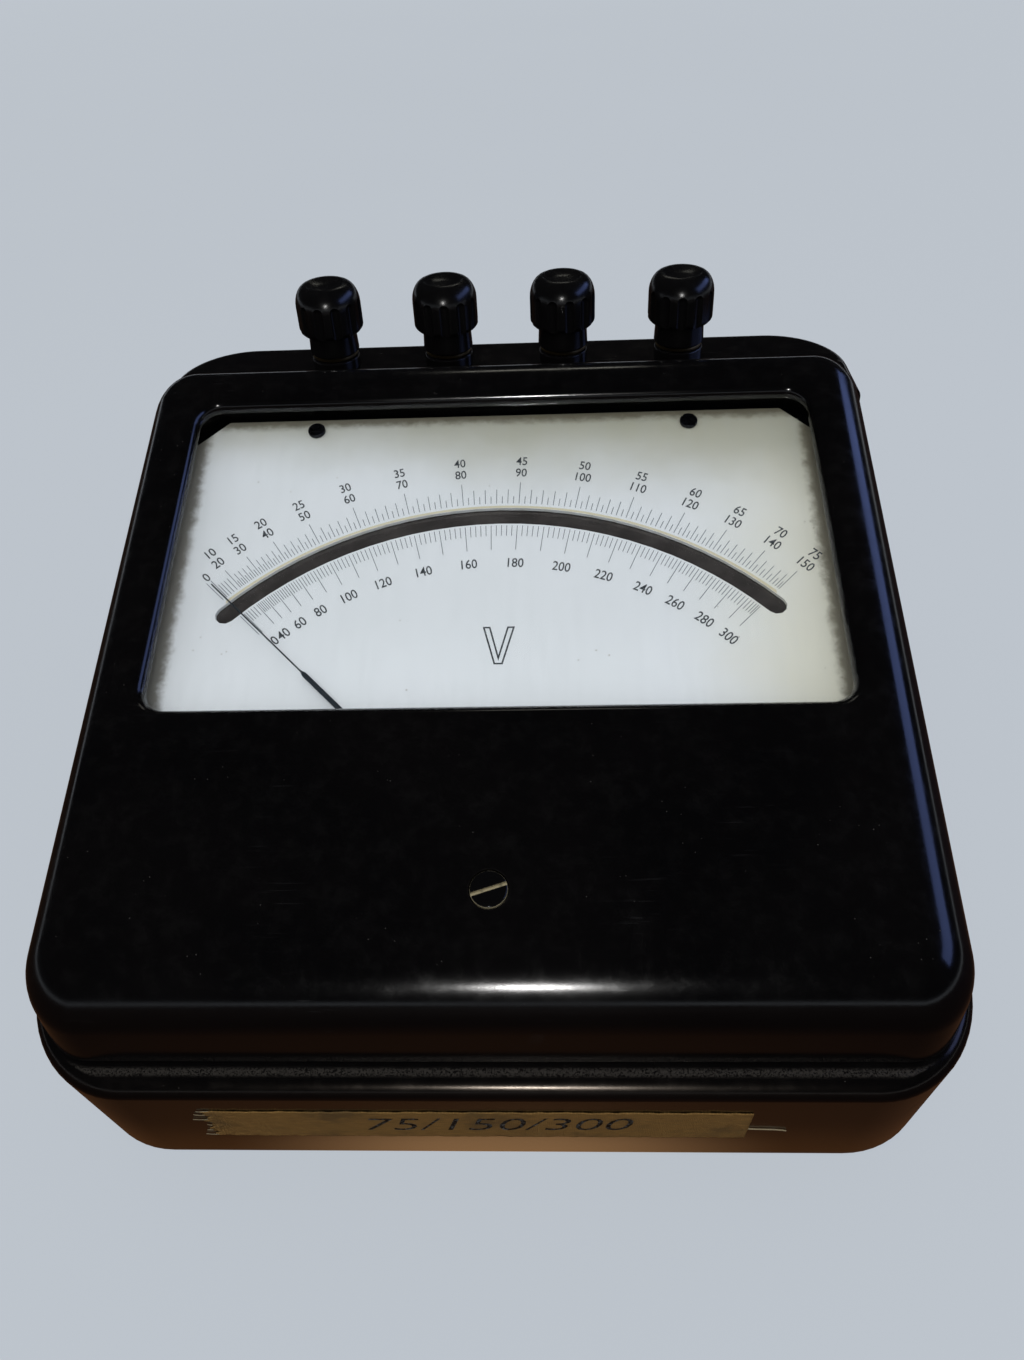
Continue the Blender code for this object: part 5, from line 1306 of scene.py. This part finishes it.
class VOLTMETER_OT_dial(Operator):
    """Printed ticks, figures and unit letter on the dial"""
    bl_idname = "voltmeter.dial"
    bl_label = "Dial"

    def execute(self, context):
        dial = sizes("dial")
        dress_nodes(("dial_plate",), "enamel")
        dress_nodes(("mirror_strip",), "mirror")
        self.ticks(dial)
        self.figures(dial)
        self.letter()
        return {"FINISHED"}

    def ticks(self, dial):
        """Ticks of the upper scale, outwards, and of the lower scale, inwards."""
        build = bmesh.new()
        upper = [(0, dial.long_tick)]
        for value in (*range(10, 20, 2), *range(20, 151)):
            even = dial.middle_tick if value % 2 == 0 else dial.short_tick
            upper.append((value, dial.long_tick if value % 10 == 0 else even))
        lower = [(0, -dial.lower_long)]
        for value in (*range(20, 40, 4), *range(40, 301, 2)):
            lower.append((value / 2, -dial.lower_long if value % 10 == 0 else -dial.lower_short))
        for start, marks in ((dial.upper_start, upper), (dial.lower_start, lower)):
            for value, size in marks:
                shape = at(y=size / 2) @ Matrix.Diagonal((dial.line_width, abs(size), FLAT_LIFT, 1))
                bmesh.ops.create_cube(build, size=1, matrix=on_dial(start, scale_angle(value)) @ shape)
        add_piece("dial_ticks", build, "ticks", "case")

    def figures(self, dial):
        """Two rows of figures over the slot and one under it."""
        build = bmesh.new()
        labels = [("0", ZERO_ROW, math.radians(ZERO_ANGLES[0]))]
        for value in range(20, 151, 10):
            for words, row in ((str(value), UPPER_ROWS[1]), (str(value // 2), UPPER_ROWS[0])):
                labels.append((words, row, scale_angle(value)))
        labels.append(("0", LOWER_ROW, math.radians(ZERO_ANGLES[1])))
        labels += [(str(value), LOWER_ROW, scale_angle(value / 2)) for value in range(40, 301, 20)]
        for words, radius, angle in labels:
            text = flat_text(words, dial.figure_height, FIGURE_STRETCH, weight=FIGURE_WEIGHT)
            absorb(build, text, on_dial(radius, angle))
        add_piece("dial_figures", build, "figures", "case")

    def letter(self):
        """Outlined unit letter in the middle of the dial."""
        build = bmesh.new()
        inner = LETTER_HALF - LETTER_STROKE
        points = ((-LETTER_HALF, LETTER_TOP), (-inner, LETTER_TOP), (0, LETTER_CROTCH), (inner, LETTER_TOP),
                  (LETTER_HALF, LETTER_TOP), (LETTER_FOOT, LETTER_LOW), (-LETTER_FOOT, LETTER_LOW))
        face = build.faces.new([build.verts.new((x, y, 0)) for x, y in points])
        face.normal_update()
        bmesh.ops.inset_region(build, faces=[face], thickness=LETTER_LINE, use_even_offset=True,
                               use_boundary=True)
        bmesh.ops.delete(build, geom=[face], context="FACES")
        grown = bmesh.ops.extrude_face_region(build, geom=build.faces[:])
        top = [part for part in grown["geom"] if isinstance(part, bmesh.types.BMVert)]
        bmesh.ops.translate(build, vec=(0, 0, FLAT_LIFT), verts=top)
        move(build, dial_frame() @ at(*LETTER_PLACE, FLAT_LIFT))
        add_piece("dial_letter", build, "figures", "case")


class VOLTMETER_OT_dial_screws(Operator):
    """Two slotted screws that hold the dial"""
    bl_idname = "voltmeter.dial_screws"
    bl_label = "Dial Screws"

    def execute(self, context):
        x, y = DIAL_SCREW_PLACE
        for name, side, turn in (("dial_screw_left", -1, 0.5), ("dial_screw_right", 1, 2.3)):
            screw = slotted_screw(DIAL_SCREW_LOW, turn, dial_frame() @ at(side * x, y), **DIAL_SCREW)
            add_piece(name + "_slotted", screw, "blued", "case", (name,))
        return {"FINISHED"}


class VOLTMETER_OT_glazing(Operator):
    """Clear glass under the window's lip"""
    bl_idname = "voltmeter.glazing"
    bl_label = "Glazing"

    def execute(self, context):
        dress_nodes(("window_glass",), "glass")
        dress_nodes(("glass_cement",), "cement")
        return {"FINISHED"}


# Zero adjuster

ADJUST_SETBACK = 0.0095
ADJUST_HEAD = 0.0040
ADJUST_HEAD_HEIGHT = 0.0019
ADJUST_RECESS = 0.0018
ADJUST_SHANK = 0.0025
ADJUST_FOOT = 0.0011
ADJUST_ROUNDS = (0, 0.0003, 0, 0, 0.00045, 0)
ADJUST_PIN = (0.0008, 0.0022, 0.0010)
ADJUST_SLOT = (0.00085, 0.0010)
ADJUST_TURN = math.radians(18)
ADJUST_CROWN = 0.0104


def adjuster_place():
    """Axis of the zero adjuster."""
    return dial_frame() @ at(y=-ADJUST_SETBACK)


class VOLTMETER_OT_adjuster(Operator):
    """Slotted zero adjuster in the cover"""
    bl_idname = "voltmeter.adjuster"
    bl_label = "Zero Adjuster"

    def execute(self, context):
        case = sizes("case")
        top = case.cover_rise - DIAL_RISE
        seat = top - ADJUST_RECESS + GAP
        crown = seat + ADJUST_HEAD_HEIGHT
        foot = top - case.cover_wall * math.cos(case.slope) - ADJUST_FOOT
        section = ((0, foot), (ADJUST_SHANK, foot), (ADJUST_SHANK, seat), (ADJUST_HEAD, seat),
                   (ADJUST_HEAD, crown), (0, crown))
        screw = lathe(section, ADJUST_ROUNDS, segments=5)
        radius, drop, throw = ADJUST_PIN
        screw = carve(screw, rod(radius, foot - drop, foot + ADJUST_FOOT / 2, at(y=-throw)), "UNION")
        screw = cut_slot(screw, ADJUST_HEAD * 1.3, *ADJUST_SLOT, crown, ADJUST_TURN)
        move(screw, adjuster_place())
        add_piece("zero_screw", screw, "adjuster", "zero_adjuster",
                  ("zero_adjust_screw",), weighted=True)
        return {"FINISHED"}


# Terminals

COLLAR_NECK = 0.0040
COLLAR_RADIUS = 0.0073
COLLAR_ROUNDS = (0, 0.0003, 0, 0.0004, 0.0006, 0)
WASHER_RADIUS = 0.0070
WASHER_ROUNDS = (0.0001, 0.0003, 0.0003, 0.0001)
CAP_NECK = 0.0072
CAP_FLARE = 0.0003
CAP_NECK_HEIGHT = 0.0062
CAP_HEAD = 0.0097
CAP_SKIRT = 0.0010
CAP_DOME = 0.0062
CAP_DOME_STEPS = 8
CAP_CREST = 0.0058
CAP_DISH = 0.0012
CAP_DISH_SHAPE = ((0.72, 0.62), (0.4, 1), (0, 1))
CAP_BORE = 0.0025
CAP_CROWN = 0.0026
CAP_ROUNDS = (0, 0, 0.0002, 0.0004, 0.0003, 0.0002, 0.0006, 0)
CAP_DISH_ROUNDS = (0.0008, 0.0008, 0)
CAP_STEPS = 96
CAP_TURNS = (0.10, 0.32, -0.05, 0.21)
FLUTE_RADIUS = 0.0019
FLUTE_STEPS = 24


class VOLTMETER_OT_terminals(Operator):
    """Fluted caps, clamp washers and collars on the four terminals"""
    bl_idname = "voltmeter.terminals"
    bl_label = "Terminals"

    def execute(self, context):
        case, posts = sizes("case"), sizes("terminals")
        high = COLLAR_HIGH.z - case.shelf_height
        section = ((CAP_BORE, -BASE_WALL), (COLLAR_NECK, -BASE_WALL), (COLLAR_NECK, GAP),
                   (COLLAR_RADIUS, GAP), (COLLAR_RADIUS, high), (CAP_BORE, high))
        collar = lathe(section, COLLAR_ROUNDS, segments=4)
        thick = WASHER_HIGH.z - WASHER_LOW.z
        section = ((CAP_BORE, 0), (WASHER_RADIUS, 0), (WASHER_RADIUS, thick), (CAP_BORE, thick))
        washer = lathe(section, WASHER_ROUNDS)
        moulded = "terminal_moulding"
        shapes = ((self.cap(posts), posts.cap_foot, "cap", "terminal", "cap_{}", moulded, "terminal_cap"),
                  (washer, WASHER_LOW.z, "washer", "tarnished", "washer_{}", "brass", "clamp_washer"),
                  (collar, case.shelf_height, "collar", "terminal", "case", moulded, "terminal_collar"))
        for number, (turn, (x, y)) in enumerate(zip(CAP_TURNS, terminal_places()), 1):
            for shape, height, name, look, body, slot, node in shapes:
                build = bmesh.new()
                absorb(build, shape, at(x, y, height) @ turned(turn))
                add_piece(f"post_{name}_{number}", build, look, body.format(number),
                          (f"{node}_{number}",), weighted=True)
            dress_nodes((f"terminal_stud_{number}",), "brass")
            dress_nodes((f"terminal_lead_{number}",), "cotton")
        return {"FINISHED"}

    def cap(self, posts):
        """One cap at the origin: neck, fluted head and dished dome over a blind bore."""
        high = posts.cap_top - posts.cap_foot
        side = high - CAP_DOME
        bore = high - CAP_CROWN - CAP_BORE
        section = [(0, bore), (CAP_BORE, bore), (CAP_BORE, 0), (CAP_NECK + CAP_FLARE, 0),
                   (CAP_NECK, CAP_NECK_HEIGHT), (CAP_HEAD - CAP_SKIRT, CAP_NECK_HEIGHT),
                   (CAP_HEAD, CAP_NECK_HEIGHT + CAP_SKIRT), (CAP_HEAD, side)]
        for step in range(1, CAP_DOME_STEPS + 1):
            turn = math.pi / 2 * step / CAP_DOME_STEPS
            reach = CAP_CREST + (CAP_HEAD - CAP_CREST) * math.cos(turn)
            section.append((reach, side + CAP_DOME * math.sin(turn)))
        section += [(CAP_CREST * inward, high - CAP_DISH * sunk) for inward, sunk in CAP_DISH_SHAPE]
        cap = lathe(section, (*CAP_ROUNDS, *[0] * CAP_DOME_STEPS, *CAP_DISH_ROUNDS), CAP_STEPS)
        flutes = bmesh.new()
        reach = CAP_HEAD + FLUTE_RADIUS - posts.flute_depth
        low, crest = CAP_NECK_HEIGHT - OVERRUN, side + FLUTE_RADIUS * 1.25
        flute = lathe(((0, low), (FLUTE_RADIUS, low), (FLUTE_RADIUS, crest), (0, crest)),
                      (0, 0, FLUTE_RADIUS * 0.98, 0), FLUTE_STEPS, segments=6)
        for index in range(posts.flutes):
            absorb(flutes, flute, turned(math.tau * (index + 0.5) / posts.flutes) @ at(reach))
        return carve(cap, flutes)


# Label

CLOTH_LIFT = 0.00010
CLOTH_GRID = (190, 52)
FRAY_REACH = 0.006
FRAY_LEAN = 0.0012
FRAY_TUFTS = ((0.0010, 1900, 1),)
FRAY_SWELL = ((1.0, 760, 0.4),)
FRAY_ENDS = ((0.0005, 4700, 1.7), (0.0003, 8300, 0.6))
EDGE_WAVES = ((0.00012, 410, 0), (0.00009, 1320, 2))
CLOTH_RIPPLE = 0.00003
RIPPLE_PITCHES = ((900, 1300), (2100, -700))
WRITING = "75/150/300"
WRITING_LOOK = (0.0092, 1.05, 0.25, -0.0001)
WRITING_PLACE = (0.0035, 0.0004)
WRITING_LIFT = 0.00006
WRITING_TURN = 0.012
LONG_THREAD = ((-0.001, -0.0020), (0.0035, -0.0030), (0.0060, -0.0022), (0.0086, -0.0036))
LONG_THREAD_RADIUS = 0.00016
SHORT_THREADS = (0.0088, 0.0061, 0.0030, -0.0012, -0.0048, -0.0084)
SHORT_THREAD_RADIUS = 0.00010


def waves(place, rows):
    """Sum of sine waves, each given as its height, its pitch and its start."""
    return sum(height * math.sin(place * pitch + start) for height, pitch, start in rows)


class VOLTMETER_OT_label(Operator):
    """Woven cloth strip with handwritten ranges on the front wall"""
    bl_idname = "voltmeter.label"
    bl_label = "Cloth Label"

    def execute(self, context):
        case, label = sizes("case"), sizes("label")
        right = Vector((1, 0, 0))
        rise = Vector((0, -FRONT_DRAFT, case.front_rise - case.shoulder - FOOT_EDGE)).normalized()
        foot = Vector((label.offset, -case.depth / 2 + FRONT_DRAFT, FOOT_EDGE))
        wall = at(*(foot + rise * (label.rise + label.height / 2)))
        wall = wall @ Matrix((right, rise, right.cross(rise))).transposed().to_4x4()
        build = bmesh.new()
        columns, rows = CLOTH_GRID
        bmesh.ops.create_grid(build, x_segments=columns, y_segments=rows, size=0.5, calc_uvs=True)
        uv = build.loops.layers.uv.verify()
        for face in build.faces:
            for loop in face.loops:
                loop[uv].uv = (loop.vert.co.x + 0.5, loop.vert.co.y + 0.5)
        bmesh.ops.scale(build, vec=(label.length, label.height, 1), verts=build.verts)
        for vert in build.verts:
            x, y = vert.co.x, vert.co.y
            left = max(0.0, 1 - (x + label.length / 2) / FRAY_REACH)
            fray = waves(y, FRAY_TUFTS) * waves(y, FRAY_SWELL) + waves(y, FRAY_ENDS)
            vert.co.x += left * (fray + FRAY_LEAN * (y / label.height))
            vert.co.y += waves(x, EDGE_WAVES) * abs(y) / (label.height / 2)
            vert.co.z = CLOTH_RIPPLE * sum(math.sin(x * a + y * b) for a, b in RIPPLE_PITCHES)
        bmesh.ops.translate(build, vec=(0, 0, CLOTH_LIFT + label.thickness / 2), verts=build.verts)
        move(build, wall)
        strip = add_piece("cloth_label", build, "cloth", "case", ("cloth_strip",))
        cloth = strip.modifiers.new("cloth_thickness", "SOLIDIFY")
        cloth.thickness = label.thickness
        cloth.offset = 0
        writing = bmesh.new()
        spot = wall @ at(*WRITING_PLACE, CLOTH_LIFT + label.thickness + WRITING_LIFT) @ turned(WRITING_TURN)
        absorb(writing, flat_text(WRITING, *WRITING_LOOK), spot)
        add_piece("label_figures", writing, "pen", "case")
        self.threads(wall, label)
        return {"FINISHED"}

    def threads(self, wall, label):
        """Loose threads: one at the right end, short ones at the frayed left end."""
        build = bmesh.new()
        end = label.length / 2
        runs = [([(end + x, y) for x, y in LONG_THREAD], LONG_THREAD_RADIUS)]
        for index, height in enumerate(SHORT_THREADS):
            reach = 0.0014 + 0.0011 * ((index * 7) % 3)
            tip = 0.0005 * (index % 2)
            offsets = ((0.002, 0.0), (0.0, 0.0003), (-reach / 2, -0.0004), (-reach, tip))
            runs.append(([(x - end, y + height) for x, y in offsets], SHORT_THREAD_RADIUS))
        for points, radius in runs:
            curve = bpy.data.curves.new("thread", "CURVE")
            curve.dimensions = "3D"
            curve.bevel_depth = radius
            curve.bevel_resolution = 2
            curve.use_fill_caps = True
            curve.resolution_u = 8
            line = curve.splines.new("NURBS")
            line.points.add(len(points) - 1)
            for spot, (x, y) in zip(line.points, points):
                spot.co = (x, y, CLOTH_LIFT + label.thickness / 2, 1)
            line.use_endpoint_u = True
            line.order_u = 4
            absorb(build, to_build(add_object("thread", curve)), wall)
        add_piece("label_threads", build, "thread", "case")


# Movement and inside

INSIDE_FINISHES = (
    ("pointer", ("pointer",)),
    ("blued", ("staff", "movement_screw_left", "movement_screw_right", "board_screw_left",
               "board_screw_right")),
    ("plated", ("carrier_plate", "upper_bridge", "lower_bridge", "zero_lever")),
    ("brass", ("upper_jewel_screw", "lower_jewel_screw", "hairspring", "balance_weight_left",
               "balance_weight_right")),
    ("aluminium", ("damping_chamber", "damping_vane")),
    ("iron", ("fixed_iron", "moving_iron")),
    ("fibre", ("coil_bobbin",)),
    ("copper", ("field_coil",)),
    ("board", ("resistor_board",)),
    ("resistance", ("series_resistor_1", "series_resistor_2", "series_resistor_3")),
)


class VOLTMETER_OT_inside(Operator):
    """Finishes of the movement and of the parts inside the case"""
    bl_idname = "voltmeter.inside"
    bl_label = "Movement and Inside"

    def execute(self, context):
        for look, names in INSIDE_FINISHES:
            dress_nodes(names, look)
        return {"FINISHED"}


# Stage

CAMERA_PLACE = (0.0163, -0.22098, 0.25071)
CAMERA_RIGHT = (0.99876, 0.02573, -0.04259)
CAMERA_UP = (0.01568, 0.64965, 0.76009)
CAMERA_LENS = 27.93
CAMERA_SENSOR = 36.0
CAMERA_SHIFT = -0.0015
CAMERA_CLIP = 0.01
LAMP_AIM = (0.0, 0.0, 0.08)
LAMPS = (
    ("key", (-0.03, -1.23, 0.46), (0.06, 0.06), (1.0, 0.99, 0.97), True),
    ("side", (1.25, 0.10, 0.72), (1.80, 0.42), (0.30, 0.42, 1.0), True),
    ("rear", (0.0, 1.05, 0.95), (0.26, 0.10), (1.0, 0.98, 0.86), True),
    ("front", (-0.05, -0.75, 1.15), (0.70, 0.70), (1.0, 0.99, 0.97), False),
)
FILL_TONE = (0.95, 0.97, 1.0, 1.0)
HORIZON = (0.0, 0.06)


def add_lamp(name, place, size, energy, tone, gloss):
    """One rectangular lamp aimed at the instrument, for its gloss or for its even light."""
    data = bpy.data.lights.new(name, "AREA")
    data.shape = "RECTANGLE"
    data.size, data.size_y = size
    data.energy = energy
    data.color = tone
    lamp = add_object(name, data)
    lamp.location = place
    lamp.rotation_euler = (Vector(LAMP_AIM) - Vector(place)).to_track_quat("-Z", "Y").to_euler()
    lamp.visible_diffuse = not gloss
    lamp.visible_glossy = gloss


def seen_ray(recipe):
    """1 for rays that show the background: to the camera, in gloss and in glass."""
    path = recipe.add("ShaderNodeLightPath").outputs
    mirrored = recipe.math("MAXIMUM", path["Is Glossy Ray"], path["Is Transmission Ray"])
    return recipe.math("MAXIMUM", path["Is Camera Ray"], mirrored)


class VOLTMETER_OT_stage(Operator):
    """Pale floor, soft lamps, background and camera"""
    bl_idname = "voltmeter.stage"
    bl_label = "Stage"

    def execute(self, context):
        stage = sizes("stage")
        build = bmesh.new()
        bmesh.ops.create_grid(build, x_segments=1, y_segments=1, size=stage.floor_size / 2)
        floor = to_object("floor", build)
        floor.data.materials.append(floor_finish(stage.backdrop, stage.table, stage.glare))
        floor.location.z = -FLAT_LIFT
        for key, place, size, tone, gloss in LAMPS:
            add_lamp(key + "_lamp", place, size, getattr(stage, key), tone, gloss)
        self.background(context.scene, stage)
        self.camera(context.scene)
        context.scene.view_settings.view_transform = "Standard"
        return {"FINISHED"}

    def background(self, scene, stage):
        """Even fill light; the backdrop shows to the camera, in gloss and in glass, under a dark ceiling."""
        world = bpy.data.worlds.new("studio")
        scene.world = world
        world.use_nodes = True
        recipe = Recipe(world.node_tree)
        fill = recipe.feed(world.node_tree.nodes["Background"], {"Color": FILL_TONE, "Strength": stage.fill})
        height = recipe.parts(recipe.add("ShaderNodeTexCoord").outputs["Generated"])[2]
        camera = recipe.add("ShaderNodeLightPath").outputs["Is Camera Ray"]
        above = recipe.times(recipe.spread(height, *HORIZON), recipe.minus(1.0, camera))
        room = recipe.blend(above, stage.backdrop, stage.ceiling)
        shown = recipe.add("ShaderNodeBackground", {"Color": room, "Strength": 1.0})
        links = {0: seen_ray(recipe), 1: fill.outputs[0], 2: shown.outputs[0]}
        mix = recipe.add("ShaderNodeMixShader", links)
        recipe.feed(world.node_tree.nodes["World Output"], {"Surface": mix.outputs[0]})

    def camera(self, scene):
        """Camera at the viewing place, looking down at the deck."""
        data = bpy.data.cameras.new("camera")
        data.sensor_width = CAMERA_SENSOR
        data.lens = CAMERA_LENS
        data.clip_start = CAMERA_CLIP
        data.shift_x = CAMERA_SHIFT
        camera = add_object("camera", data)
        right, up = Vector(CAMERA_RIGHT).normalized(), Vector(CAMERA_UP)
        back = right.cross(up).normalized()
        axes = Matrix((right, back.cross(right), back)).transposed()
        camera.matrix_world = at(*CAMERA_PLACE) @ axes.to_4x4()
        scene.camera = camera


# Add-on

class VOLTMETER_PT_panel(Panel):
    """Builders and settings of the voltmeter"""
    bl_idname = "VOLTMETER_PT_panel"
    bl_label = "Laboratory Voltmeter"
    bl_space_type = "VIEW_3D"
    bl_region_type = "UI"
    bl_category = "Voltmeter"

    def draw(self, context):
        layout = self.layout
        for operator in BUILDERS:
            layout.operator(operator.bl_idname)
        for name, group in SETTINGS:
            box = layout.box()
            box.label(text=name.title())
            settings = getattr(context.scene, "voltmeter_" + name)
            for key in group.__annotations__:
                box.prop(settings, key)


SETTINGS = (("case", CaseSizes), ("window", WindowSizes), ("dial", DialSizes), ("terminals", TerminalSizes),
            ("label", LabelSizes), ("finishes", Finishes), ("stage", StageSettings))
BUILDERS = (VOLTMETER_OT_base, VOLTMETER_OT_cover, VOLTMETER_OT_case_screws, VOLTMETER_OT_glazing,
            VOLTMETER_OT_dial, VOLTMETER_OT_dial_screws, VOLTMETER_OT_adjuster, VOLTMETER_OT_terminals,
            VOLTMETER_OT_label, VOLTMETER_OT_inside, VOLTMETER_OT_stage)


def register():
    """Register the settings, operators and panel."""
    for name, group in SETTINGS:
        bpy.utils.register_class(group)
        setattr(bpy.types.Scene, "voltmeter_" + name, PointerProperty(type=group))
    for kind in (*BUILDERS, VOLTMETER_PT_panel):
        bpy.utils.register_class(kind)


def unregister():
    """Take the panel, operators and settings away again."""
    for kind in reversed((*BUILDERS, VOLTMETER_PT_panel)):
        bpy.utils.unregister_class(kind)
    for name, group in reversed(SETTINGS):
        delattr(bpy.types.Scene, "voltmeter_" + name)
        bpy.utils.unregister_class(group)


def main():
    """Register the add-on and build every piece in order."""
    register()
    for operator in BUILDERS:
        family, name = operator.bl_idname.split(".")
        getattr(getattr(bpy.ops, family), name)()


if __name__ == "__main__":
    main()
